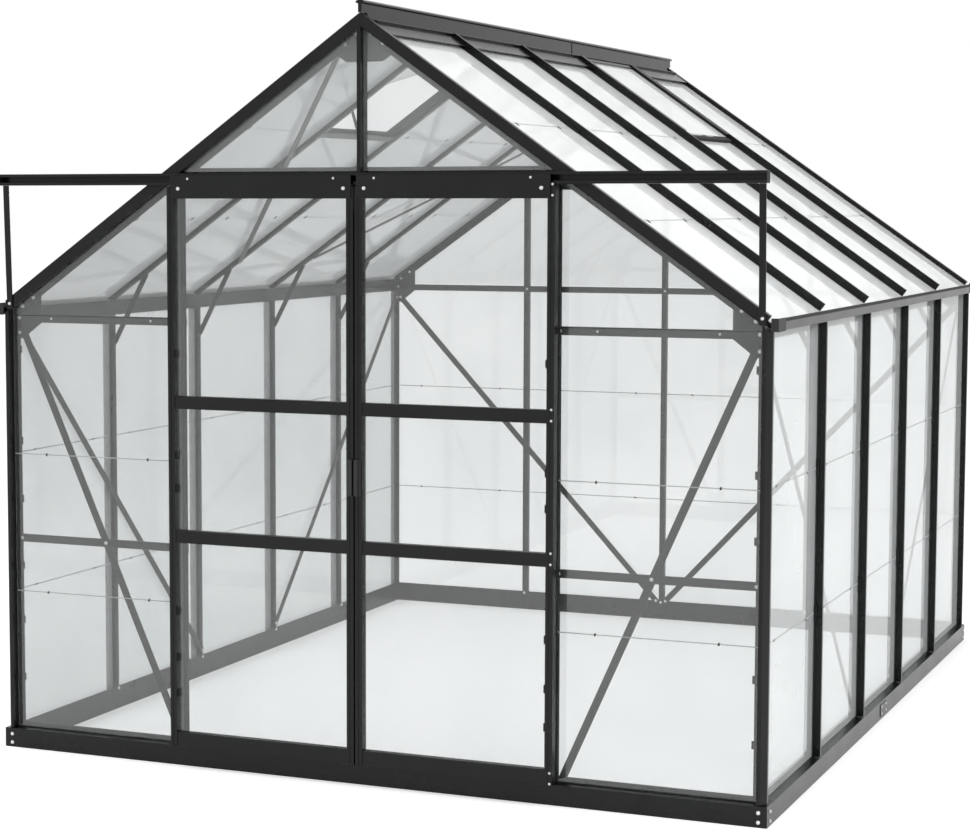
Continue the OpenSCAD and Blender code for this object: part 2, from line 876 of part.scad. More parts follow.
// a door rail with a pane slot in its lower and upper edges
module door_rail(z0, h, slot_low, slot_high) {
    x0 = leaf_x0 + stile_w + fit;
    len = leaf_w - 2 * (stile_w + fit);
    y0 = -leaf_front + (leaf_t - rail_t) / 2;
    hollow_0 = slot_low ? slot_d + leaf_wall : leaf_wall;
    hollow_1 = slot_high ? slot_d + leaf_wall : leaf_wall;
    at_front() translate([x0, y0, z0]) difference() {
        cube([len, rail_t, h]);
        translate([-1, leaf_wall, hollow_0])
            cube([len + 2, rail_t - 2 * leaf_wall, h - hollow_0 - hollow_1]);
        if (slot_low) translate([-1, (rail_t - slot_w) / 2, -1])
            cube([len + 2, slot_w, slot_d + 1]);
        if (slot_high) translate([-1, (rail_t - slot_w) / 2, h - slot_d])
            cube([len + 2, slot_w, slot_d + 1]);
    }
}

module door_rails() {
    door_rail(leaf_z0, bottom_rail_h, false, true);
    door_rail(rail_1_z, mid_rail_h, true, true);
    door_rail(rail_2_z, mid_rail_h, true, true);
    door_rail(top_rail_z, leaf_top - top_rail_z, true, false);
}

module door_panes() {
    x0 = leaf_x0 + stile_w - slot_in;
    len = leaf_w - 2 * (stile_w - slot_in);
    y0 = -leaf_front + (leaf_t - glass_t) / 2;
    levels = [[low_rail_top, rail_1_z], [rail_1_z + mid_rail_h, rail_2_z],
        [rail_2_z + mid_rail_h, top_rail_z]];
    at_front() for (l = levels) translate([x0, y0, l[0] - slot_in])
        cube([len, glass_t, l[1] - l[0] + 2 * slot_in]);
}

// plate across the top of a leaf, with two wheels that run in the track
module door_hanger() {
    axle_z = track_z0 + track_wall + 0.5 + wheel_r;
    wheel_y = -fit - track_d / 2 - wheel_t / 2;
    at_front() {
        translate([leaf_x0 + 6.5, -leaf_front - fit - hanger_t, hanger_z0])
            cube([leaf_w - 6.5 - hanger_inset, hanger_t, hanger_h]);
        for (x = [leaf_x0 + 60, leaf_x1 - 60]) translate([x, 0, axle_z]) {
            translate([0, wheel_y + wheel_t, 0]) rotate([90, 0, 0])
                cylinder(h = wheel_t, r = wheel_r);
            translate([0, wheel_y, 0]) rotate([90, 0, 0])
                cylinder(h = leaf_front + fit + wheel_y + 1, r = axle_r);
        }
    }
}

// a pull with a finger recess along its outer side
module door_handle() {
    w = stile_w - 3.5;
    lip = 4;
    at_front() translate([leaf_x0 + 1, -leaf_front - fit, handle_z]) linear_extrude(handle_h)
        polygon([[0, 0], [w, 0], [w, -lip], [w - 7, -lip], [w - 9, -handle_out],
            [0, -handle_out]]);
}

module left_door_stiles() {
    piece(frame_colour) mirror([1, 0, 0]) door_stiles();
}

module left_door_rails() {
    piece(frame_colour) mirror([1, 0, 0]) door_rails();
}

module left_door_hanger() {
    piece(frame_colour) mirror([1, 0, 0]) door_hanger();
}

module left_door_glass() {
    piece(glass_colour) mirror([1, 0, 0]) door_panes();
}

module left_door_handle() {
    piece(frame_colour) mirror([1, 0, 0]) door_handle();
}

module right_door_stiles() {
    piece(frame_colour) door_stiles();
}

module right_door_rails() {
    piece(frame_colour) door_rails();
}

module right_door_hanger() {
    piece(frame_colour) door_hanger();
}

module right_door_glass() {
    piece(glass_colour) door_panes();
}

module right_door_handle() {
    piece(frame_colour) door_handle();
}

base_front();
base_rear();
base_sides();
base_corner_brackets();
base_splice_plates();
corner_posts();
side_wall_bars();
gutters();
gutter_end_caps();
ridge_beam();
gable_rafters();
roof_bars();
door_posts();
front_gable_bar();
front_header();
front_side_rails();
rear_gable_bars();
rear_gable_rail();
apex_gussets();
eaves_gussets();
wall_braces();
gable_braces();
roof_braces();
knee_straps();
door_track();
track_struts();
front_side_glass();
front_peak_glass();
rear_gable_glass();
side_wall_glass();
roof_glass();
vent_frames();
vent_glass();
vent_sills();
vent_stays();
left_door_stiles();
left_door_rails();
left_door_hanger();
left_door_glass();
left_door_handle();
right_door_stiles();
right_door_rails();
right_door_hanger();
right_door_glass();
right_door_handle();
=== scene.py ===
"""Glass greenhouse: materials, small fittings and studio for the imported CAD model."""

import logging
import math
from dataclasses import dataclass
from enum import Enum
from typing import Iterable, Sequence

import bmesh
import bpy
from mathutils import Matrix, Vector


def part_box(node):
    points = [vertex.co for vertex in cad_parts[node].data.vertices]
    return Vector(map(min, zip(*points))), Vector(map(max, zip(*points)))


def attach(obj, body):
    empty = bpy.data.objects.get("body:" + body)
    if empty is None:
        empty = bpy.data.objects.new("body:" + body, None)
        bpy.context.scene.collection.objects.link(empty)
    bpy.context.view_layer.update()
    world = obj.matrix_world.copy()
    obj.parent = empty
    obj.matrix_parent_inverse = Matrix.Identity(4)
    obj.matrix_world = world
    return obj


LOG = logging.getLogger("greenhouse")
Point = tuple[float, float, float]
Pair = tuple[float, float]
Row = tuple[float, ...]
Names = tuple[str, ...]
Outline = Sequence[Pair]
Tree = bpy.types.NodeTree
Node = bpy.types.Node
Material = bpy.types.Material

MM = 0.001
AIR = 0.0003  # clearance between two faces that lie together, in metres
MIDWAY = 0.5
SIDES = (-1, 1)
HOUSE = "greenhouse"
BRACED_BARS = ((-1, 2), (1, 3))  # way along the house and bar at each brace's foot
VENT_BAYS = {-1: 2, 1: 4}  # side and bay of each vent, counted from the front
# Rubber strip beside a bar's neck, in millimetres from the neck's middle.
STRIP = ((3.1, 0.2), (8.6, 0.2), (7.4, 2.6), (3.1, 3.4))


# ---- colours and nodes ----


def linear(colour: str) -> tuple[float, float, float, float]:
    """Turns an sRGB hex colour to linear light.

    Args:
        colour: Colour such as "#2b2c2c".

    Returns:
        Red, green, blue and an alpha of 1.
    """
    parts = [int(colour[i : i + 2], 16) / 255 for i in (1, 3, 5)]
    red, green, blue = (
        p / 12.92 if p <= 0.04045 else ((p + 0.055) / 1.055) ** 2.4 for p in parts
    )
    return red, green, blue, 1.0


def add_node(
    tree: Tree,
    kind: str,
    settings: dict[str, object] | None = None,
    links: dict[str | int, object] | None = None,
) -> Node:
    """Adds a node with its settings and links.

    Args:
        tree: Node tree that takes the node.
        kind: Blender's name for the kind of node, after its "ShaderNode".
        settings: Properties of the node, set as they are.
        links: Input name or number, with the output socket or the value it takes.

    Returns:
        The new node.
    """
    node = tree.nodes.new("ShaderNode" + kind)
    for name, value in (settings or {}).items():
        setattr(node, name, value)
    for name, value in (links or {}).items():
        if isinstance(value, bpy.types.NodeSocket):
            tree.links.new(value, node.inputs[name])
        else:
            node.inputs[name].default_value = value
    return node


def set_ramp(node: Node, stops: Sequence[tuple[float, str]]) -> None:
    """Gives a colour ramp its stops.

    Args:
        node: Colour ramp node.
        stops: Place and sRGB hex colour of each stop, in order.
    """
    marks = node.color_ramp.elements
    while len(marks) < len(stops):
        marks.new(0.5)
    for mark, (place, colour) in zip(marks, stops):
        mark.position = place
        mark.color = linear(colour)


def fresh_material(name: str) -> tuple[Material, Tree]:
    """Makes an empty node material.

    Args:
        name: Name of the material.

    Returns:
        The material and its node tree.
    """
    material = bpy.data.materials.new(name)
    material.use_nodes = True
    material.node_tree.nodes.clear()
    return material, material.node_tree


def output(tree: Tree, shader: Node) -> None:
    """Links a shader to a new material output."""
    add_node(tree, "OutputMaterial", links={"Surface": shader.outputs[0]})


def relief(
    tree: Tree, size: float, detail: float, depth: float, strength: float
) -> tuple[Node, Node]:
    """Adds a fine raised grain.

    Args:
        tree: Node tree that takes the nodes.
        size: Size of the grain, in millimetres.
        detail: Finer layers in the grain.
        depth: Height of the grain, in millimetres.
        strength: Share of the height that shows.

    Returns:
        The nodes of the grain and of the bump.
    """
    place = add_node(tree, "TexCoord").outputs["Object"]
    links = {"Vector": place, "Scale": 1 / (size * MM), "Detail": detail}
    grain = add_node(tree, "TexNoise", links=links)
    links = {"Height": grain.outputs["Fac"], "Strength": strength}
    bump = add_node(tree, "Bump", links=links | {"Distance": depth * MM})
    return grain, bump


# ---- finishes ----


@dataclass(frozen=True)
class PowderCoat:
    """Polyester powder coat on extruded aluminium: an even skin with fine orange peel.

    It gives soft, wide reflections that turn pale where a face is seen edge on, and a
    faint mottle keeps long bars from looking flat. The peel has its real size.
    """

    name: str
    slot: str
    colour: str
    worn: str
    roughness: float = 0.24
    gloss: float = 0.24
    peel_mm: float = 1.6
    peel_depth_mm: float = 0.05
    peel_strength: float = 0.12
    mottle_mm: float = 140.0
    mottle_stops: Pair = (0.35, 0.72)
    rough_spread: Pair = (-0.05, 0.07)

    def make(self) -> Material:
        """Builds the material.

        Returns:
            The material.
        """
        material, tree = fresh_material(self.name)
        place = add_node(tree, "TexCoord").outputs["Object"]
        mottle = add_node(tree, "TexNoise", links={
            "Vector": place, "Scale": 1 / (self.mottle_mm * MM), "Detail": 3.0,
            "Roughness": 0.6,
        })
        tone = add_node(tree, "ValToRGB", links={"Fac": mottle.outputs["Fac"]})
        set_ramp(tone, list(zip(self.mottle_stops, (self.colour, self.worn))))
        _, bump = relief(
            tree, self.peel_mm, 1.0, self.peel_depth_mm, self.peel_strength
        )
        rough = add_node(tree, "MapRange", links={
            "Value": mottle.outputs["Fac"],
            "To Min": self.roughness + self.rough_spread[0],
            "To Max": self.roughness + self.rough_spread[1],
        })
        skin = add_node(tree, "BsdfPrincipled", links={
            "Base Color": tone.outputs["Color"], "Roughness": rough.outputs["Result"],
            "Normal": bump.outputs["Normal"], "Specular IOR Level": self.gloss,
        })
        output(tree, skin)
        return material


@dataclass(frozen=True)
class ToughenedGlass:
    """Float glass, toughened: clear, flat panes with a faint grey-green body.

    A milky veil, a painted sheen that stands in for the white surround mirrored in the
    panes, varies in wide random clouds, and light from the lamps passes through, so the
    ground inside stays bright.
    """

    name: str
    tint: str
    passes: str
    painted_sheen: float = 0.02
    roughness: float = 0.0
    ior: float = 1.52
    sheen_cloud_mm: float = 420.0
    sheen_cloud_stops: Pair = (0.3, 0.8)
    slot: str = "glass"

    def make(self) -> Material:
        """Builds the material.

        Returns:
            The material.
        """
        material, tree = fresh_material(self.name)
        place = add_node(tree, "TexCoord").outputs["Object"]
        sheen_clouds = add_node(tree, "TexNoise", links={
            "Vector": place, "Scale": 1 / (self.sheen_cloud_mm * MM), "Detail": 4.0,
        })
        tone = add_node(tree, "ValToRGB", links={"Fac": sheen_clouds.outputs["Fac"]})
        set_ramp(tone, list(zip(self.sheen_cloud_stops, (self.tint, self.passes))))
        # The share of the pane that does not pass light is the painted sheen, a pale
        # milky film.
        pane = add_node(tree, "BsdfPrincipled", links={
            "Base Color": tone.outputs["Color"], "Roughness": self.roughness,
            "IOR": self.ior, "Transmission Weight": 1.0 - self.painted_sheen,
        })
        clear = add_node(tree, "BsdfTransparent", links={"Color": linear(self.passes)})
        path = add_node(tree, "LightPath")
        mix = add_node(tree, "MixShader", links={
            0: path.outputs["Is Shadow Ray"], 1: pane.outputs[0], 2: clear.outputs[0],
        })
        output(tree, mix)
        return material


@dataclass(frozen=True)
class MouldedPlastic:
    """Injection-moulded polypropylene or rubber: matt, with a fine spark-eroded grain.

    It gives the eye a dull dark face with no clear reflection. The real grain, about
    0.2 mm, is too fine to show and is drawn coarser.
    """

    name: str
    colour: str
    roughness: float = 0.55
    grain_mm: float = 0.9
    grain_depth_mm: float = 0.08
    grain_strength: float = 0.25
    grain_tone: float = 0.12
    gloss: float = 0.4
    slot: str = "plastic"

    def make(self) -> Material:
        """Builds the material.

        Returns:
            The material.
        """
        material, tree = fresh_material(self.name)
        grain, bump = relief(
            tree, self.grain_mm, 2.0, self.grain_depth_mm, self.grain_strength
        )
        tone = add_node(tree, "MixRGB", {"blend_type": "MULTIPLY"}, {
            "Fac": self.grain_tone, "Color1": linear(self.colour),
            "Color2": grain.outputs["Color"],
        })
        body = add_node(tree, "BsdfPrincipled", links={
            "Base Color": tone.outputs["Color"], "Roughness": self.roughness,
            "Normal": bump.outputs["Normal"], "Specular IOR Level": self.gloss,
        })
        output(tree, body)
        return material


@dataclass(frozen=True)
class ZincPlate:
    """Zinc plating on pressed steel: a pale metal with a soft cloudy shine.

    Each bolt reads as a small pale dot. The real clouds, under 1 mm, are drawn coarser.
    """

    name: str
    colour: str
    roughness: float = 0.32
    cloud_mm: float = 3.0
    rough_spread: Pair = (-0.08, 0.12)
    slot: str | None = None

    def make(self) -> Material:
        """Builds the material.

        Returns:
            The material.
        """
        material, tree = fresh_material(self.name)
        place = add_node(tree, "TexCoord").outputs["Object"]
        cloud = add_node(tree, "TexNoise", links={
            "Vector": place, "Scale": 1 / (self.cloud_mm * MM), "Detail": 2.0,
        })
        rough = add_node(tree, "MapRange", links={
            "Value": cloud.outputs["Fac"],
            "To Min": self.roughness + self.rough_spread[0],
            "To Max": self.roughness + self.rough_spread[1],
        })
        metal = add_node(tree, "BsdfPrincipled", links={
            "Base Color": linear(self.colour), "Metallic": 1.0,
            "Roughness": rough.outputs["Result"],
        })
        output(tree, metal)
        return material


class Finish(Enum):
    """Finishes of the greenhouse, each made once."""

    # Outer faces of the bars: near black, with soft pale streaks along the edges.
    FRAME = PowderCoat("black_powder_coat", "frame_coat", "#0e0f0f", "#151616")
    # Folded base: the same coat on steel, a shade lighter.
    BASE = PowderCoat("black_coated_steel", "base_coat", "#101111", "#171818")
    # Flat plates, rails and braces inside the glass: the same black coat, duller,
    # painted a lighter dark grey that stands in for the sheen of the glass in front of
    # them.
    INNER = PowderCoat(
        "black_powder_coat_inner_painted_sheen", "brace_coat", "#1e1f1f", "#262727", 0.36
    )
    # Gables and doors: clear panes with a faint cool tint and a slight painted sheen.
    WALL_GLASS = ToughenedGlass("toughened_glass", "#e8eaea", "#f1f2f2", 0.03)
    # Front peak: a little more painted sheen, so the ridge shows paler through it.
    PEAK_GLASS = ToughenedGlass("toughened_peak_glass", "#e6e9e9", "#eff0f0", 0.1)
    # Side walls: milky with painted sheen. The IOR is below real glass, so bars mirror
    # only faintly.
    SIDE_GLASS = ToughenedGlass(
        "toughened_side_glass", "#dfe2e2", "#e9ebeb", 0.25, ior=1.16
    )
    # Roof: the thickest painted sheen, nearly white, and the faintest mirror.
    ROOF_GLASS = ToughenedGlass(
        "toughened_roof_glass", "#eff1f1", "#f8f8f8", 0.52, 0.02, 1.14
    )
    # Clear seal in the joints of the panes: a thin grey line.
    SEAL = MouldedPlastic("clear_joint_seal", "#a6abab", 0.4, 1.2)
    # Clips, caps and guides: matt charcoal.
    PLASTIC = MouldedPlastic("moulded_black_plastic", "#1b1c1c")
    # Door handles: charcoal, a shade lighter and smoother than the clips.
    HANDLE = MouldedPlastic("grey_moulded_plastic", "#222422", 0.5)
    # Strips, seals and plugs: deep matt black.
    RUBBER = MouldedPlastic("black_epdm_rubber", "#0e0f0f", 0.72, 1.4)
    # Bolts, nuts and screws: pale dots on the dark coat.
    ZINC = ZincPlate("zinc_plated_steel", "#dcdddd")

    def material(self) -> Material:
        """Returns the finish's material, made at its first use."""
        return bpy.data.materials.get(self.value.name) or self.value.make()


def dress(nodes: Iterable[str], finish: Finish) -> None:
    """Gives CAD nodes a finish.

    Args:
        nodes: Names of the CAD nodes.
        finish: Finish that they take.
    """
    for name in nodes:
        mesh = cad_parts[name].data
        mesh.materials.clear()
        mesh.materials.append(finish.material())
        LOG.info("dressed %s in %s", name, finish.value.name)


# ---- mesh building ----


def axes(x: Point, y: Point, z: Point) -> Matrix:
    """Returns the turn that sends the three axes to three directions."""
    return Matrix((x, y, z)).transposed().to_4x4()


def on_wall(at: Point, outward: Point) -> Matrix:
    """Returns a placement with y upright and z out of a wall."""
    up, out = Vector((0, 0, 1)), Vector(outward)
    return Matrix.Translation(at) @ axes(up.cross(out), up, out)


# Quarter turns: about the way outward, and from upright to facing the front.
QUARTER = Matrix.Rotation(math.radians(90), 4, "Z")
TIPPED = Matrix.Rotation(math.radians(90), 4, "X")
# Outline in depth and height, extruded along x.
SIDEWAYS = axes((0, 0, 1), (0, 1, 0), (1, 0, 0))
# Outline in width and height, extruded down the slope.
DOWNWARD = axes((0, 1, 0), (0, 0, 1), (1, 0, 0))
# Outline in width and height, extruded along the house.
LENGTHWISE = axes((1, 0, 0), (0, 0, 1), (0, 1, 0))


def mirrored(outline: Outline) -> list[Pair]:
    """Returns an outline turned left to right."""
    return [(-x, y) for x, y in reversed(outline)]


def rectangle(width: float, height: float) -> list[Pair]:
    """Returns the corners of a rectangle about its centre."""
    x, y = width / 2, height / 2
    return [(-x, -y), (x, -y), (x, y), (-x, y)]


def aimed(at: Point, towards: Point, turn: float = 0.0) -> Matrix:
    """Makes a placement whose z axis points in a direction.

    Args:
        at: Place in metres.
        towards: Direction of the z axis.
        turn: Turn about that axis, in degrees.

    Returns:
        The placement.
    """
    spin = Matrix.Rotation(math.radians(turn), 4, "Z")
    facing = Vector(towards).to_track_quat("Z", "Y").to_matrix().to_4x4()
    return Matrix.Translation(Vector(at)) @ facing @ spin


class Piece:
    """A mesh that is put together from turned and extruded shapes, in millimetres."""

    bevel_steps: int = 2
    bevel_round: float = 0.6

    def __init__(self, name: str) -> None:
        """Starts an empty piece with its name."""
        self.name = name
        self.mesh = bmesh.new()

    def turned(self, profile: Outline, steps: int, place: Matrix) -> None:
        """Adds a shape turned about the z axis of its placement.

        Args:
            profile: Radius and height of each ring, from the foot to the top.
            steps: Number of sides.
            place: Placement of the shape.
        """
        rings = []
        for radius, height in profile:
            ring = []
            for step in range(steps):
                angle = math.tau * step / steps
                x, y = radius * math.cos(angle), radius * math.sin(angle)
                ring.append(self.mesh.verts.new(place @ (Vector((x, y, height)) * MM)))
            rings.append(ring)
        for low, high in zip(rings, rings[1:]):
            for i in range(steps):
                j = (i + 1) % steps
                self.mesh.faces.new((low[i], low[j], high[j], high[i]))
        self.mesh.faces.new(rings[0][::-1])
        self.mesh.faces.new(rings[-1])

    def extruded(
        self, outline: Outline, length: float, place: Matrix, edge: float = 0.0
    ) -> None:
        """Adds a shape extruded along the z axis of its placement.

        Args:
            outline: Corners in the x and y plane, anticlockwise.
            length: Length of the extrusion.
            place: Placement of the shape.
            edge: Width of the bevel on all its edges.
        """
        foot, top = (
            [self.mesh.verts.new(place @ (Vector((x, y, z)) * MM)) for x, y in outline]
            for z in (0, length)
        )
        count = len(outline)
        faces = [self.mesh.faces.new(foot[::-1]), self.mesh.faces.new(top)]
        for i in range(count):
            j = (i + 1) % count
            faces.append(self.mesh.faces.new((foot[i], foot[j], top[j], top[i])))
        if edge:
            edges = list({e for face in faces for e in face.edges})
            bmesh.ops.bevel(
                self.mesh, geom=edges, offset=edge * MM, segments=self.bevel_steps,
                affect="EDGES", profile=self.bevel_round,
            )

    def finish(self, finish: Finish, body: str = HOUSE) -> None:
        """Makes the Blender object.

        Args:
            finish: Finish of the piece.
            body: Body that it rides on.
        """
        bmesh.ops.recalc_face_normals(self.mesh, faces=self.mesh.faces)
        data = bpy.data.meshes.new(self.name)
        self.mesh.to_mesh(data)
        self.mesh.free()
        data.materials.append(finish.material())
        item = bpy.data.objects.new(self.name, data)
        bpy.context.collection.objects.link(item)
        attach(item, body)
        LOG.info("made %s, %d faces, on %s", self.name, len(data.polygons), body)


@dataclass(frozen=True)
class Block:
    """Small block with rounded edges, in millimetres."""

    width: float
    height: float
    thick: float
    edge: float

    def add(self, piece: Piece, place: Matrix) -> None:
        """Adds the block to a piece, from its placement along z."""
        shape = rectangle(self.width, self.height)
        piece.extruded(shape, self.thick, place, self.edge)


@dataclass(frozen=True)
class HexBolt:
    """Flanged hexagon bolt; a smaller one stands for a nut."""

    across: float = 9.5
    head: float = 4.2
    flange: float = 13.0
    flange_t: float = 1.3
    flange_sides: int = 14
    flange_edge: float = 0.5
    chamfer: float = 0.8
    crown: float = 0.86

    def add(self, piece: Piece, at: Point, towards: Point, turn: float = 12.0) -> None:
        """Adds one head to a piece.

        Args:
            piece: Piece that takes the head.
            at: Centre of the face that the flange lies on, in metres.
            towards: Direction that the head faces.
            turn: Turn of the hexagon, in degrees.
        """
        place = aimed(at, towards, turn)
        rim, lip = self.flange / 2, self.flange_t
        disc = [(rim, 0), (rim, lip / 2), (rim - self.flange_edge, lip)]
        piece.turned(disc, self.flange_sides, place)
        corner = self.across / math.sqrt(3)
        block = [
            (corner, lip), (corner, self.head - self.chamfer),
            (corner * self.crown, self.head),
        ]
        piece.turned(block, 6, place)


BOLT = HexBolt(9.0, 4.0, 12.0, 1.2)
NUT = HexBolt(8.0, 3.6, 10.0, 1.0)
SCREW = HexBolt(5.5, 2.6, 7.5, 0.8)


@dataclass(frozen=True)
class Datum:
    """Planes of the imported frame, in metres, and the sizes that the fittings share."""

    half_w: float
    front: float
    rear: float
    eaves: float = 1.464
    pitch: float = 35.0
    bar_gap: float = 0.625
    inset: float = 0.020
    bays: int = 5
    stand: float = 0.010
    glass: float = 0.0163
    pane: float = 0.003
    flange: float = 0.031
    layer: float = 0.0343
    plate: float = 0.0037
    brace: float = 0.003
    brace_end: float = 0.054
    base_top: float = 0.065

    @classmethod
    def measured(cls) -> "Datum":
        """Returns the datum planes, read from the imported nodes."""
        low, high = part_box("corner_posts")
        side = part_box("base_sides")[1][0] - cls.stand
        return cls(side, low[1] + cls.stand, high[1] - cls.stand)

    @property
    def apex(self) -> float:
        """Height of the peak of the roof surface."""
        return self.eaves + self.half_w * math.tan(math.radians(self.pitch))

    @property
    def middle(self) -> float:
        """Place of the house's middle along y."""
        return (self.front + self.rear) / 2

    @property
    def half_l(self) -> float:
        """Half the length of the house."""
        return (self.rear - self.front) / 2

    @property
    def ends(self) -> tuple[tuple[float, int], ...]:
        """Outer face of each gable, with the way outward."""
        return (self.front, -1), (self.rear, 1)

    def bar(self, number: int) -> float:
        """Returns the y of a glazing bar, counted from the front corner."""
        return self.front + self.inset + number * self.bar_gap

    def roof_height(self, x: float, depth: float = 0.0) -> float:
        """Returns the height of the roof at a distance from the middle."""
        angle = math.radians(self.pitch)
        return self.apex - abs(x) * math.tan(angle) - depth / math.cos(angle)

    def slopes(self) -> tuple["Slope", "Slope"]:
        """Returns the left and the right slope."""
        return Slope(self, -1), Slope(self, 1)


@dataclass(frozen=True)
class Slope:
    """One slope of the roof: side 1 is the right one and side -1 the left one."""

    datum: Datum
    side: int

    def at(self, along: float, y: float, depth: float) -> Point:
        """Finds a point of the roof.

        Args:
            along: Distance from the peak, down the slope.
            y: Place along the house.
            depth: Depth under the roof surface.

        Returns:
            The point, in metres.
        """
        angle = math.radians(self.datum.pitch)
        x = along * math.cos(angle) - depth * math.sin(angle)
        z = self.datum.apex - along * math.sin(angle) - depth * math.cos(angle)
        return self.side * x, y, z

    def square(self, way: int = 1) -> Point:
        """Returns the direction square to the slope, outward or, for -1, inward."""
        angle = math.radians(self.datum.pitch)
        return way * self.side * math.sin(angle), 0.0, way * math.cos(angle)

    def place(self, along: float, y: float, depth: float) -> Matrix:
        """Makes a placement at a point, with z outward and x down the slope.

        Args:
            along: Distance from the peak, down the slope.
            y: Place along the house.
            depth: Depth under the roof surface.

        Returns:
            The placement.
        """
        angle = math.radians(self.datum.pitch)
        normal = Vector(self.square())
        down = Vector((self.side * math.cos(angle), 0.0, -math.sin(angle)))
        at = Vector(self.at(along, y, depth))
        return Matrix.Translation(at) @ axes(down, normal.cross(down), normal)


# ---- sub-assemblies ----


@dataclass
class Base:
    """Steel base: four mitred lengths, bolted at the corners, spliced at the sides."""

    datum: Datum
    corner_from_edge: float = 0.026
    corner_heights: Row = (0.043, 0.015)
    side_from_edge: float = 0.033
    splice_reach: float = 0.034
    splice_heights: Row = (0.020, 0.043)
    splice_t: float = 0.0018
    nodes: Names = (
        "base_front", "base_rear", "base_sides", "base_corner_brackets",
        "base_splice_plates",
    )

    def build(self) -> None:
        """Dresses the base and adds its bolts."""
        dress(self.nodes, Finish.BASE)
        self.add_corner_bolts()
        self.add_splice_bolts()

    def add_corner_bolts(self) -> None:
        """Adds two bolts on each face of each corner."""
        piece = Piece("base_corner_bolts")
        d = self.datum
        edge_x = d.half_w + d.stand
        for side in SIDES:
            for face, way in d.ends:
                edge_y = face + way * d.stand
                for z in self.corner_heights:
                    at = (side * (edge_x - self.corner_from_edge), edge_y, z)
                    BOLT.add(piece, at, (0, way, 0))
                    at = (side * edge_x, edge_y - way * self.side_from_edge, z)
                    BOLT.add(piece, at, (side, 0, 0))
        piece.finish(Finish.ZINC)

    def add_splice_bolts(self) -> None:
        """Adds four bolts on each splice plate."""
        piece = Piece("base_splice_bolts")
        d = self.datum
        for side in SIDES:
            x = side * (d.half_w + d.stand + self.splice_t)
            for y in (-self.splice_reach, self.splice_reach):
                for z in self.splice_heights:
                    SCREW.add(piece, (x, d.middle + y, z), (side, 0, 0))
        piece.finish(Finish.ZINC)


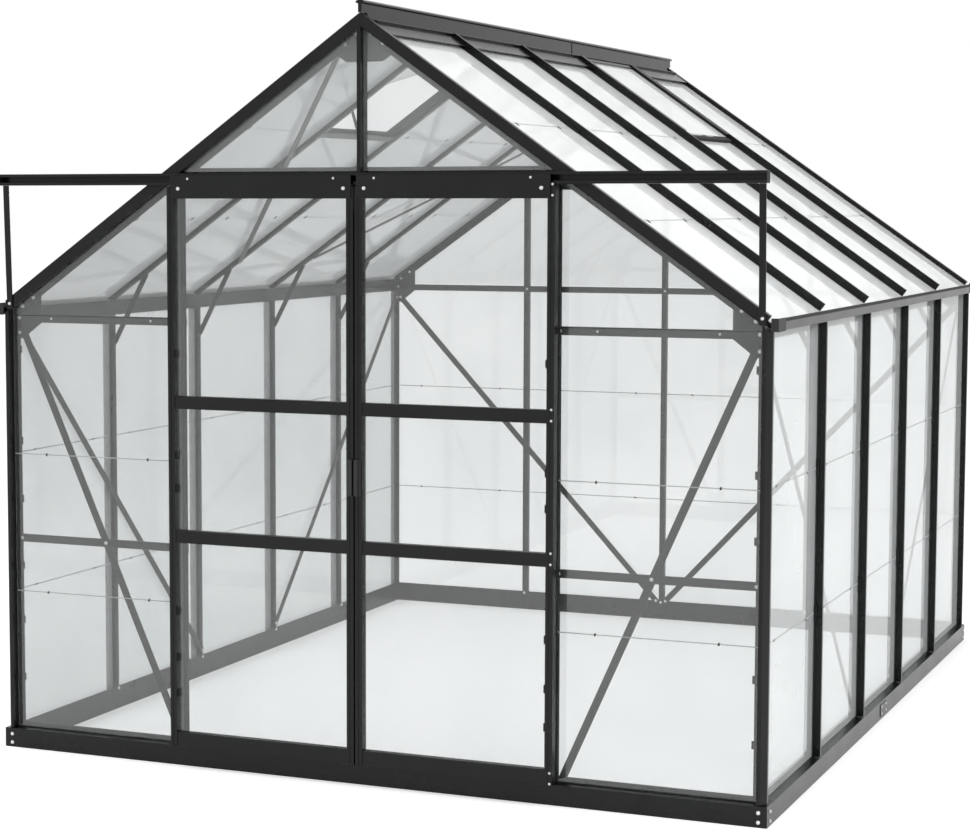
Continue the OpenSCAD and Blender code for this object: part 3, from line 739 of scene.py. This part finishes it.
@dataclass
class WallFrame:
    """Posts, bars, rails, gussets and braces of the four walls, with their bolts."""

    datum: Datum
    gusset_bolts: Outline = (
        (1.176, 1.478), (1.217, 1.449), (1.2305, 1.412), (1.2305, 1.364),
    )
    apex_bolts: Outline = ((0.024, 2.292), (0.062, 2.262))
    door_bar: float = 0.625
    rail_heights: Row = (0.690, 1.410)
    rail_screws: Row = (0.745, 1.112)
    rail_step: float = 0.006
    rail_end_x: float = 1.2305
    crossing_x: float = 0.916
    brace_feet_x: Pair = (0.647, 0.021)
    brace_foot: float = 0.079
    brace_head: float = 1.366
    brace_head_x: float = 1.2177
    foot_bolt: float = 0.0725
    wall_brace_foot: float = 0.097
    nut_turn: float = 25.0
    strip_foot: float = 0.002
    strip_head: float = 0.043
    strip_depth: float = 0.036
    tab: Block = Block(15.0, 8.0, 4.0, 0.6)
    tab_at: float = 0.012
    tab_shift: float = 0.0015
    tab_sunk: float = 0.0031
    tab_level: float = 0.0085
    post_clips: Row = (1.31, 1.01, 0.82, 0.60, 0.42, 0.23)
    post_clip_in: float = 0.0445
    post_clip: Block = Block(8.0, 24.0, 1.6, 0.5)
    frame_nodes: Names = (
        "corner_posts", "side_wall_bars", "door_posts", "front_gable_bar",
        "rear_gable_bars",
    )
    inner_nodes: Names = (
        "front_header", "front_side_rails", "rear_gable_rail", "apex_gussets",
        "eaves_gussets", "wall_braces", "gable_braces",
    )

    def build(self) -> None:
        """Dresses the walls' frame and adds its fittings."""
        dress(self.frame_nodes, Finish.FRAME)
        dress(self.inner_nodes, Finish.INNER)
        self.add_gusset_bolts()
        self.add_rail_bolts()
        self.add_brace_bolts()
        self.add_foot_bolts()
        self.add_glazing_strips()
        self.add_rail_ends()
        self.add_post_clips()

    def uprights(self) -> list[tuple[float, int, float]]:
        """Lists the uprights of both gables.

        Returns:
            Outer face, way outward and x of each upright.
        """
        (front, out), (rear, back) = self.datum.ends
        found = [(front, out, side * self.door_bar) for side in SIDES]
        return found + [(rear, back, way * self.door_bar) for way in (-1, 0, 1)]

    def through(self, heads: Piece, nuts: Piece, x: float, z: float, end: int) -> None:
        """Adds a bolt through a gable plate, with its nut inside.

        Args:
            heads: Piece that takes the head.
            nuts: Piece that takes the nut.
            x: Distance from the middle.
            z: Height.
            end: 0 for the front gable and 1 for the rear one.
        """
        d = self.datum
        face, way = d.ends[end]
        BOLT.add(heads, (x, face - way * d.flange, z), (0, way, 0))
        inside = (x, face - way * (d.layer + d.plate), z)
        NUT.add(nuts, inside, (0, -way, 0), self.nut_turn)

    def add_gusset_bolts(self) -> None:
        """Adds the bolts of the gussets at the eaves and at the peak."""
        heads, nuts = Piece("gusset_bolts"), Piece("gusset_nuts")
        for end in (0, 1):
            for side in SIDES:
                for x, z in self.gusset_bolts + self.apex_bolts:
                    self.through(heads, nuts, side * x, z, end)
        heads.finish(Finish.ZINC)
        nuts.finish(Finish.ZINC)

    def add_rail_bolts(self) -> None:
        """Adds the bolts that hold the gable rails and the header."""
        heads, nuts = Piece("rail_bolts"), Piece("rail_nuts")
        low, high = self.rail_heights
        out, back = self.door_bar + self.rail_step, self.door_bar - self.rail_step
        end_x = self.rail_end_x
        spots = (out, low, 0), (out, high, 0), (back, high, 1), (end_x, low, 0)
        for side in SIDES:
            for x, z, end in spots:
                self.through(heads, nuts, side * x, z, end)
        self.through(heads, nuts, self.rail_step, high, 1)
        heads.finish(Finish.ZINC)
        nuts.finish(Finish.ZINC)

    def add_brace_bolts(self) -> None:
        """Adds a bolt at each end and crossing of the flat braces."""
        piece = Piece("brace_bolts")
        d = self.datum
        inner = d.layer + d.plate + AIR + d.brace
        head = (self.brace_head_x, self.brace_head)
        for (face, way), foot_x in zip(d.ends, self.brace_feet_x):
            y = face - way * inner
            for side in SIDES:
                for x, z in (head, (foot_x, self.brace_foot)):
                    BOLT.add(piece, (side * x, y, z), (0, -way, 0))
        rail_y = d.front + d.layer
        for side in SIDES:
            at = (side * self.crossing_x, rail_y, self.rail_heights[0])
            BOLT.add(piece, at, (0, -1, 0))
            for x in self.rail_screws:
                SCREW.add(piece, (side * x, rail_y, self.rail_heights[1]), (0, -1, 0))
        x = d.half_w - d.layer - d.brace
        for side in SIDES:
            for way, bar in BRACED_BARS:
                y = d.middle + way * (d.half_l - d.brace_end)
                BOLT.add(piece, (side * x, y, self.brace_head), (-side, 0, 0))
                at = (side * x, d.bar(bar), self.wall_brace_foot)
                BOLT.add(piece, at, (-side, 0, 0))
        piece.finish(Finish.ZINC)

    def add_foot_bolts(self) -> None:
        """Adds the bolt that holds each bar's foot to the base."""
        piece = Piece("bar_foot_bolts")
        d = self.datum
        inner = d.layer + d.plate
        for number in range(1, d.bays):
            for side in SIDES:
                at = (side * (d.half_w - inner), d.bar(number), self.foot_bolt)
                BOLT.add(piece, at, (-side, 0, 0))
        for face, way, x in self.uprights():
            BOLT.add(piece, (x, face - way * inner, self.foot_bolt), (0, -way, 0))
        piece.finish(Finish.ZINC)

    def add_glazing_strips(self) -> None:
        """Adds the rubber strips that hold the panes along the walls' bars."""
        piece = Piece("wall_glazing_strips")
        d = self.datum
        low, top = d.base_top + self.strip_foot, d.eaves - self.strip_head
        for number in range(1, d.bays):
            for side in SIDES:
                at = (side * (d.half_w - d.glass), d.bar(number), low)
                self.strip_pair(piece, at, (side, 0, 0), top)
        for face, way, x in self.uprights():
            at, top = (x, face - way * d.glass, low), d.roof_height(x, self.strip_depth)
            self.strip_pair(piece, at, (0, way, 0), top)
        piece.finish(Finish.RUBBER)

    def strip_pair(self, piece: Piece, at: Point, outward: Point, top: float) -> None:
        """Adds the pair of strips of one bar.

        Args:
            piece: Piece that takes the strips.
            at: Foot of the strips, at the bar's middle.
            outward: Direction out of the wall.
            top: Height of the strips' upper ends.
        """
        up, out = Vector((0, 0, 1)), Vector(outward)
        place = Matrix.Translation(Vector(at)) @ axes(out.cross(up), out, up)
        for shape in (STRIP, mirrored(STRIP)):
            piece.extruded(shape, (top - at[2]) / MM, place)

    def add_rail_ends(self) -> None:
        """Adds the plastic end where the side bays' top rail meets each door post."""
        piece = Piece("rail_end_clips")
        y = self.datum.front + self.datum.layer - self.tab_sunk
        for side in SIDES:
            x = side * (self.door_bar + self.tab_at) + self.tab_shift
            for way in (-1, 1):
                z = self.rail_heights[1] + way * self.tab_level
                self.tab.add(piece, Matrix.Translation((x, y, z)) @ TIPPED)
        piece.finish(Finish.PLASTIC)

    def add_post_clips(self) -> None:
        """Adds the black clips that press the front panes against the corner posts."""
        piece = Piece("front_post_clips")
        d = self.datum
        for side in SIDES:
            for z in self.post_clips:
                at = (side * (d.half_w - self.post_clip_in), d.front + d.flange, z)
                self.post_clip.add(piece, aimed(at, (0, -1, 0)))
        piece.finish(Finish.RUBBER)


@dataclass
class Glazing:
    """Panes of the walls and roof, with the clips that join them."""

    datum: Datum
    pane_rows: int = 3
    joint: float = 0.0015
    under_eaves: float = 0.044
    roof_top: float = 0.056
    past_eaves: float = 0.009
    front_bays: tuple[int, ...] = (-2, 1)
    rear_bays: tuple[int, ...] = (-2, -1, 0, 1)
    clip_w: float = 5.5
    clip_h: float = 9.0
    roof_clip_h: float = 22.0
    lip: float = 0.7
    lip_growth: float = 20.0
    lip_gap: float = 0.1
    lip_swell: float = 0.2
    lip_part: float = 0.35
    seal: float = 1.2
    seal_lip: float = 1.5
    seal_lip_t: Pair = (0.05, 0.5)
    seal_short: float = 14.0
    bar_clip: Block = Block(10.0, 52.0, 8.0, 0.6)
    bar_clip_out: float = 3.2
    bar_clip_proud: float = 0.0002
    clip_spots: Row = (0.2, 0.8)
    wall_nodes: Names = (
        "front_side_glass", "rear_gable_glass", "left_door_glass", "right_door_glass",
    )
    roof_nodes: Names = ("roof_glass", "vent_glass")

    def build(self) -> None:
        """Dresses the panes and adds their clips."""
        dress(self.wall_nodes, Finish.WALL_GLASS)
        dress(("front_peak_glass",), Finish.PEAK_GLASS)
        dress(("side_wall_glass",), Finish.SIDE_GLASS)
        dress(self.roof_nodes, Finish.ROOF_GLASS)
        self.add_wall_clips()
        self.add_roof_clips()
        self.add_bar_clips()

    def clip(self, piece: Piece, place: Matrix, length: float) -> None:
        """Adds one bent clip over a pane joint.

        Args:
            piece: Piece that takes the clip.
            place: Placement on the pane's inner face, with y up and z outward.
            length: Length of the clip.
        """
        gap, near = self.lip_gap, self.datum.pane / MM + self.lip_gap
        half, lip = length / 2, self.lip * (1 + length / self.lip_growth)
        short = half * self.lip_part
        front = [
            (near, -half), (near + lip, -half), (near + self.lip_swell + lip, 0.0),
            (near + lip, short), (near, short),
        ]
        back = [(-gap, -short), (-gap, half), (-gap - lip, half), (-gap - lip, -short)]
        shift = Matrix.Translation(Vector((-self.clip_w / 2, 0, 0)) * MM)
        for shape in (front, back):
            piece.extruded(shape, self.clip_w, place @ shift @ SIDEWAYS)

    def seal_strip(self, piece: Piece, place: Matrix) -> None:
        """Adds the clear seal that fills the joint between two panes.

        Args:
            piece: Piece that takes the seal.
            place: Placement at the joint's middle, with y up and z outward.
        """
        half = (self.datum.bar_gap / MM - self.seal_short) / 2
        low, high = (self.datum.pane / MM + t for t in self.seal_lip_t)
        core, lip = self.seal / 2, self.seal_lip
        right = [(0.0, core), (low, core), (low, lip), (high, lip)]
        outline = [(x, -y) for x, y in right] + right[::-1]
        shift = Matrix.Translation(Vector((-half, 0, 0)) * MM)
        piece.extruded(outline, 2 * half, place @ shift @ SIDEWAYS)

    def rows(self) -> list[float]:
        """Works out the joints between the walls' rows of panes.

        Returns:
            Height of each joint.
        """
        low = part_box("side_wall_glass")[0][2]
        row = (self.datum.eaves - self.under_eaves - low + self.joint) / self.pane_rows
        return [low + row * k - self.joint / 2 for k in range(1, self.pane_rows)]

    def add_wall_clips(self) -> None:
        """Adds the clips and seals of the side walls and gables."""
        clips, seals = Piece("wall_glass_clips"), Piece("wall_joint_seals")
        d = self.datum
        inner = d.glass + d.pane
        for z in self.rows():
            for side in SIDES:
                x = side * (d.half_w - inner)
                for number in range(d.bays):
                    ends = (x, d.bar(number), z), (x, d.bar(number + 1), z)
                    self.wall_joint(clips, seals, ends, (side, 0, 0))
            for (face, way), bays in zip(d.ends, (self.front_bays, self.rear_bays)):
                y = face - way * inner
                for bay in bays:
                    ends = (bay * d.bar_gap, y, z), ((bay + 1) * d.bar_gap, y, z)
                    self.wall_joint(clips, seals, ends, (0, way, 0))
        clips.finish(Finish.PLASTIC)
        seals.finish(Finish.SEAL)

    def wall_joint(
        self, clips: Piece, seals: Piece, ends: tuple[Point, Point], outward: Point
    ) -> None:
        """Adds the clips and the seal of one joint between two bars.

        Args:
            clips: Piece that takes the clips.
            seals: Piece that takes the seal.
            ends: Both ends of the joint.
            outward: Direction out of the wall.
        """
        for spot in (*self.clip_spots, MIDWAY):
            at = tuple(a + (b - a) * spot for a, b in zip(*ends))
            place = on_wall(at, outward)
            if spot == MIDWAY:
                self.seal_strip(seals, place)
            else:
                self.clip(clips, place, self.clip_h)

    def add_bar_clips(self) -> None:
        """Adds the black clips that hold the panes' corners beside each bar."""
        piece = Piece("bar_glass_clips")
        d = self.datum
        aside = self.bar_clip_out + self.bar_clip.width / 2
        depth = d.glass - self.bar_clip_proud
        top, row = self.roof_rows()
        for slope in d.slopes():
            side = slope.side
            for number in range(1, d.bays):
                for way in SIDES:
                    y = d.bar(number) + way * aside * MM
                    x = side * (d.half_w - depth)
                    for z in self.rows():
                        self.bar_clip.add(piece, on_wall((x, y, z), (side, 0, 0)))
                    for k in range(1, self.pane_rows):
                        place = slope.place(top + k * row, y, depth) @ QUARTER
                        self.bar_clip.add(piece, place)
        piece.finish(Finish.RUBBER)

    def roof_rows(self) -> tuple[float, float]:
        """Returns the start and the pitch of the roof's rows of panes."""
        end = (self.datum.half_w + self.past_eaves) / math.cos(
            math.radians(self.datum.pitch)
        )
        return self.roof_top, (end - self.roof_top + self.joint) / self.pane_rows

    def add_roof_clips(self) -> None:
        """Adds the clips and seals of the roof's panes."""
        clips, seals = Piece("roof_glass_clips"), Piece("roof_joint_seals")
        d = self.datum
        top, row = self.roof_rows()
        for slope in d.slopes():
            for number in range(d.bays):
                # Under a vent the glass starts at the sill, with one joint less.
                first = 2 if number + 1 == VENT_BAYS[slope.side] else 1
                for k in range(first, self.pane_rows):
                    along = top + k * row - self.joint / 2
                    for spot in (*self.clip_spots, MIDWAY):
                        y = d.bar(number) + d.bar_gap * spot
                        place = slope.place(along, y, d.glass + d.pane) @ QUARTER
                        if spot == MIDWAY:
                            self.seal_strip(seals, place)
                        else:
                            self.clip(clips, place, self.roof_clip_h)
        clips.finish(Finish.PLASTIC)
        seals.finish(Finish.SEAL)


@dataclass
class Roof:
    """Roof bars, rafters, ridge and gutters, with the fittings on them."""

    datum: Datum
    slope_end: float = 1.5455
    bar_top: float = 0.0503
    strip_short: float = 6.0
    brace_head: float = 0.130
    brace_foot: float = 0.060
    joint_y: float = 0.359
    joint_z: float = 0.004
    joint_sleeve: Block = Block(26.0, 40.0, 1.4, 0.4)
    ridge_half: float = 0.006
    drip_at: float = 0.5565
    drip_bar: Block = Block(18.0, 601.0, 13.0, 0.8)
    knee_reach: float = 0.160
    knee_low: Pair = (0.034, 0.004)
    knee_depth: float = 0.033
    foot_half: float = 0.010
    shade_strip_short: float = 0.082
    shade_strip_drop: float = 0.006
    # Section of the black strip on each gutter's upper edge, a hook over the edge and a
    # skirt outside it: painted shade where the gutter's lip faces up.
    shade_strip_section: Outline = (
        (-3.2, 0.4), (-3.2, -4.0), (-2.6, -4.0), (-2.6, -0.2), (0.2, -0.2), (0.2, -9.5),
        (0.7, -9.5), (0.7, 0.4),
    )
    frame_nodes: Names = (
        "ridge_beam", "gable_rafters", "roof_bars", "gutters", "vent_frames",
        "vent_sills", "vent_stays",
    )

    def build(self) -> None:
        """Dresses the roof and adds its fittings."""
        dress(self.frame_nodes, Finish.FRAME)
        dress(("roof_braces", "knee_straps"), Finish.INNER)
        dress(("gutter_end_caps",), Finish.PLASTIC)
        self.add_strips()
        self.add_brace_bolts()
        self.add_knee_bolts()
        self.add_gutter_shade_strip()
        self.add_ridge_joint()
        self.add_drip_bars()

    def add_strips(self) -> None:
        """Adds the rubber strips along the roof bars."""
        piece = Piece("roof_glazing_strips")
        d = self.datum
        length = (self.slope_end - self.bar_top) / MM - 2 * self.strip_short
        top = self.bar_top + self.strip_short * MM
        for slope in d.slopes():
            for number in range(1, d.bays):
                place = slope.place(top, d.bar(number), d.glass) @ DOWNWARD
                for shape in (STRIP, mirrored(STRIP)):
                    piece.extruded(shape, length, place)
        piece.finish(Finish.RUBBER)

    def add_brace_bolts(self) -> None:
        """Adds the bolts at the ends of the roof's flat braces."""
        piece = Piece("roof_brace_bolts")
        d = self.datum
        depth = d.layer + d.brace
        foot = self.slope_end - self.knee_reach - self.brace_foot
        for slope in d.slopes():
            for way, bar in BRACED_BARS:
                y = d.middle + way * (d.half_l - d.brace_end)
                for at in ((self.brace_head, y, depth), (foot, d.bar(bar), depth)):
                    BOLT.add(piece, slope.at(*at), slope.square(-1))
        piece.finish(Finish.ZINC)

    def add_knee_bolts(self) -> None:
        """Adds the bolts of the knee straps, on the straps' free faces."""
        piece = Piece("knee_strap_bolts")
        d = self.datum
        face = self.foot_half + AIR + d.brace
        inset, rise = self.knee_low
        reach = self.slope_end - self.knee_reach
        for slope in d.slopes():
            for number in range(1, d.bays):
                y = d.bar(number) + face
                x, z = d.half_w - inset, d.eaves - self.knee_reach + rise
                high = slope.at(reach, y, self.knee_depth)
                for at in ((slope.side * x, y, z), high):
                    BOLT.add(piece, at, (0, 1, 0))
        piece.finish(Finish.ZINC)

    def add_gutter_shade_strip(self) -> None:
        """Adds a black strip along each gutter's upper edge, painted shade where its lip
        faces up.
        """
        piece = Piece("gutter_painted_shade_strip")
        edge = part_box("gutters")[1][0]
        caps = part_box("gutter_end_caps")
        start, end = caps[0][1] + self.shade_strip_short, caps[1][1] - self.shade_strip_short
        for side in SIDES:
            shape = [(side * x, z) for x, z in self.shade_strip_section]
            at = (side * edge, start, self.datum.eaves - self.shade_strip_drop)
            place = Matrix.Translation(at) @ LENGTHWISE
            piece.extruded(shape, (end - start) / MM, place)
        piece.finish(Finish.RUBBER)

    def add_drip_bars(self) -> None:
        """Adds the bar that sheds water under each vent, between two roof bars."""
        piece = Piece("vent_drip_bars")
        d = self.datum
        for slope in d.slopes():
            bay = VENT_BAYS[slope.side]
            y = (d.bar(bay - 1) + d.bar(bay)) / 2
            self.drip_bar.add(piece, slope.place(self.drip_at, y, d.glass))
        piece.finish(Finish.RUBBER)

    def add_ridge_joint(self) -> None:
        """Adds the joint sleeve where the two lengths of the ridge meet."""
        piece = Piece("ridge_joint_sleeve")
        z = self.datum.apex + self.joint_z
        for side in SIDES:
            at = (side * (self.ridge_half + AIR), self.joint_y, z)
            self.joint_sleeve.add(piece, on_wall(at, (side, 0, 0)))
        piece.finish(Finish.FRAME)


@dataclass
class Track:
    """Door track and its struts, with end plugs and bolts."""

    datum: Datum
    strut_x: float = 1.245
    strut_foot: float = 1.459
    strut_t: float = 0.0049
    strut_lean: float = 0.04
    plug: float = 1.4
    plug_play: float = 2.0
    plug_edge: float = 0.5

    def build(self) -> None:
        """Dresses the track and adds its fittings."""
        dress(("door_track", "track_struts"), Finish.FRAME)
        self.add_strut_bolts()
        self.add_plugs()

    def add_strut_bolts(self) -> None:
        """Adds the bolt at the foot of each strut."""
        piece = Piece("strut_bolts")
        y = self.datum.front - AIR - self.strut_t
        for side in SIDES:
            at = (side * self.strut_x, y, self.strut_foot)
            NUT.add(piece, at, (0, -1, self.strut_lean))
        piece.finish(Finish.ZINC)

    def add_plugs(self) -> None:
        """Adds the plug in each end of the track."""
        piece = Piece("track_end_plugs")
        low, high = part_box("door_track")
        depth, height = ((high[i] - low[i]) / MM - self.plug_play for i in (1, 2))
        plug = Block(depth, height, self.plug, self.plug_edge)
        for side in SIDES:
            at = (side * high[0], (low[1] + high[1]) / 2, (low[2] + high[2]) / 2)
            plug.add(piece, on_wall(at, (side, 0, 0)))
        piece.finish(Finish.RUBBER)


@dataclass
class Leaf:
    """One sliding leaf, with its bolts, seal, clips and guides."""

    side: int
    body: str
    leaf_in: float = 0.0025
    leaf_out: float = 0.640
    plate_bolts: Outline = ((0.034, 1.8275), (0.598, 1.8275))
    axle_screws: Outline = ((0.067, 1.858), (0.5645, 1.858))
    clip_x: float = 0.6136
    clip_heights: Row = (1.316, 0.995, 0.89, 0.502, 0.355, 0.24)
    clip: Block = Block(5.0, 24.0, 10.0, 0.5)
    seal_foot: float = 0.004
    seal_short: float = 80.0
    seal_shape: Outline = (
        (0.0, -5.0), (0.0, 5.0), (-1.4, 2.6), (-2.1, 0.0), (-1.4, -2.6),
    )
    guide_in: Pair = (0.030, 0.032)
    guide: Block = Block(34.0, 14.0, 3.0, 0.7)

    def build(self) -> None:
        """Dresses the leaf and adds its fittings."""
        names = [f"{self.body}_{part}" for part in ("stiles", "rails", "hanger")]
        dress(names, Finish.FRAME)
        dress([f"{self.body}_handle"], Finish.HANDLE)
        self.add_hanger_bolts()
        self.add_seal()
        self.add_glass_clips()
        self.add_guides()

    def add_hanger_bolts(self) -> None:
        """Adds the bolts and the roller axles' screws on a hanging plate."""
        piece = Piece(f"{self.body}_hanger_bolts")
        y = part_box(f"{self.body}_hanger")[0][1]
        for x, z in self.plate_bolts:
            BOLT.add(piece, (self.side * x, y, z), (0, -1, 0))
        for x, z in self.axle_screws:
            SCREW.add(piece, (self.side * x, y, z), (0, -1, 0))
        piece.finish(Finish.ZINC, self.body)

    def add_seal(self) -> None:
        """Adds the rubber seal down the meeting edge of a leaf."""
        piece = Piece(f"{self.body}_edge_seal")
        low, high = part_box(f"{self.body}_stiles")
        shape = [(self.side * x, y) for x, y in self.seal_shape]
        at = (self.side * self.leaf_in, (low[1] + high[1]) / 2, low[2] + self.seal_foot)
        length = (high[2] - low[2]) / MM - self.seal_short
        piece.extruded(shape, length, Matrix.Translation(at))
        piece.finish(Finish.RUBBER, self.body)

    def add_glass_clips(self) -> None:
        """Adds the black clips that hold a leaf's panes along its outer stile."""
        piece = Piece(f"{self.body}_glass_clips")
        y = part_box(f"{self.body}_glass")[0][1]
        for z in self.clip_heights:
            self.clip.add(piece, aimed((self.side * self.clip_x, y, z), (0, -1, 0)))
        piece.finish(Finish.RUBBER, self.body)

    def add_guides(self) -> None:
        """Adds the plastic corner guides under the bottom rail of a leaf."""
        piece = Piece(f"{self.body}_foot_guides")
        low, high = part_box(f"{self.body}_stiles")
        y = (low[1] + high[1]) / 2
        near, far = self.guide_in
        for x in (self.leaf_in + near, self.leaf_out - far):
            at = (self.side * x, y, low[2] - self.guide.thick * MM)
            self.guide.add(piece, Matrix.Translation(at))
        piece.finish(Finish.PLASTIC, self.body)


@dataclass
class Doors:
    """Both leaves, and the screws that only the right one shows."""

    datum: Datum
    stile_screws: Outline = (
        (0.6315, 1.183), (0.6315, 1.150), (0.632, 0.760), (0.632, 0.727),
        (0.6325, 0.105), (0.6325, 0.073), (0.6315, 1.838), (0.6315, 1.806),
    )

    def build(self) -> None:
        """Builds the leaves and adds the screws."""
        Leaf(-1, "left_door").build()
        Leaf(1, "right_door").build()
        self.add_stile_screws()

    def add_stile_screws(self) -> None:
        """Adds the paired screws down the right leaf's outer stile."""
        piece = Piece("right_door_stile_screws")
        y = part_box("right_door_stiles")[0][1]
        for x, z in self.stile_screws:
            SCREW.add(piece, (x, y, z), (0, -1, 0))
        piece.finish(Finish.ZINC, "right_door")


# ---- studio ----


@dataclass
class Studio:
    """Pale floor, white surround, soft lamps and the camera."""

    camera_at: Point = (2.9245, -8.0079, 1.784)
    yaw: float = 23.6881
    pitch: float = -4.9483
    focal: float = 2337.57
    centre_x: float = 388.894
    centre_y: float = 405.239
    width: int = 970
    height: int = 833
    sensor: float = 36.0
    clipped: Pair = (0.1, 100.0)
    floor_half: float = 40.0
    floor_drop: float = 0.5
    floor_white: float = 0.9
    floor_lift: float = 0.32
    surround: float = 0.88
    aim_height: float = 1.0
    lamps: tuple[tuple[str, Point, float, float], ...] = (
        ("key_lamp", (6.0, -2.5, 4.5), 185.0, 4.0),
        ("fill_lamp", (-5.0, -3.0, 5.0), 110.0, 5.0),
    )

    def build(self) -> None:
        """Builds the whole studio."""
        self.add_camera()
        self.add_floor()
        self.add_surround()
        self.add_lamps()
        bpy.context.scene.view_settings.view_transform = "Standard"

    def add_camera(self) -> None:
        """Adds the camera at its measured place."""
        data = bpy.data.cameras.new("camera")
        data.sensor_width = self.sensor
        data.lens = self.focal * self.sensor / self.width
        data.shift_x = (self.width / 2 - self.centre_x) / self.width
        data.shift_y = (self.centre_y - self.height / 2) / self.width
        data.clip_start, data.clip_end = self.clipped
        camera = bpy.data.objects.new("camera", data)
        bpy.context.collection.objects.link(camera)
        camera.location = self.camera_at
        camera.rotation_euler = (
            math.radians(90 + self.pitch), 0.0, math.radians(self.yaw)
        )
        bpy.context.scene.camera = camera

    def white_to_sight(self, tree: Tree) -> bpy.types.NodeSocket:
        """Tells which rays see the surround straight, mirrored or through glass.

        Args:
            tree: Node tree that takes the nodes.

        Returns:
            Output that is 1 for those rays and 0 for the rest.
        """
        path = add_node(tree, "LightPath")
        total = path.outputs["Is Camera Ray"]
        for name in ("Is Glossy Ray", "Is Transmission Ray"):
            total = add_node(tree, "Math", {"operation": "MAXIMUM"}, {
                0: total, 1: path.outputs[name],
            }).outputs[0]
        return total

    def add_floor(self) -> None:
        """Adds a white floor that keeps the soft shadows."""
        mesh = bpy.data.meshes.new("floor")
        half = self.floor_half
        corners = [(x, y, 0) for x, y in rectangle(2 * half, 2 * half)]
        mesh.from_pydata(corners, [], [(0, 1, 2, 3)])
        floor = bpy.data.objects.new("floor", mesh)
        floor.location.z = -self.floor_drop * MM
        bpy.context.collection.objects.link(floor)
        material, tree = fresh_material("white_floor")
        white = (self.floor_white,) * 3 + (1.0,)
        paper = add_node(tree, "BsdfDiffuse", links={"Color": white})
        lift = add_node(tree, "Math", {"operation": "MULTIPLY"}, {
            0: self.white_to_sight(tree), 1: self.floor_lift,
        })
        glow = add_node(tree, "Emission", links={"Strength": lift.outputs[0]})
        both = add_node(tree, "AddShader", links={
            0: paper.outputs[0], 1: glow.outputs[0],
        })
        output(tree, both)
        mesh.materials.append(material)

    def add_surround(self) -> None:
        """Adds a world that is white to the eye and lights softly."""
        world = bpy.data.worlds.new("surround")
        world.use_nodes = True
        tree = world.node_tree
        tree.nodes.clear()
        strength = add_node(tree, "MapRange", links={
            "Value": self.white_to_sight(tree), "To Min": self.surround,
        })
        white = add_node(tree, "Background", links={
            "Color": (1, 1, 1, 1), "Strength": strength.outputs["Result"],
        })
        add_node(tree, "OutputWorld", links={"Surface": white.outputs[0]})
        bpy.context.scene.world = world

    def add_lamps(self) -> None:
        """Adds a large soft lamp high on each side."""
        for name, place, power, size in self.lamps:
            data = bpy.data.lights.new(name, "AREA")
            data.energy, data.size = power, size
            lamp = bpy.data.objects.new(name, data)
            lamp.location = place
            aim = Vector((0, 0, self.aim_height)) - Vector(place)
            lamp.rotation_euler = aim.to_track_quat("-Z", "Y").to_euler()
            bpy.context.collection.objects.link(lamp)


# ---- greenhouse ----


def main() -> None:
    """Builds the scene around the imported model."""
    logging.basicConfig(level=logging.INFO, format="%(name)s: %(message)s")
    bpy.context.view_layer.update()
    Studio().build()
    datum = Datum.measured()
    for part in (Base, WallFrame, Roof, Glazing, Track, Doors):
        part(datum).build()


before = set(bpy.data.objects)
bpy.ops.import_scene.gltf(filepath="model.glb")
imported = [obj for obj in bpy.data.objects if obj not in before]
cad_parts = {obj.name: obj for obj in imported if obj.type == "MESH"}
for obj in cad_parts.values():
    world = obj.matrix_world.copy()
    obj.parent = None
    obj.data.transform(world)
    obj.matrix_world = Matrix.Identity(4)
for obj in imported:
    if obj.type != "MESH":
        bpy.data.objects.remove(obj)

if __name__ == "__main__":
    main()
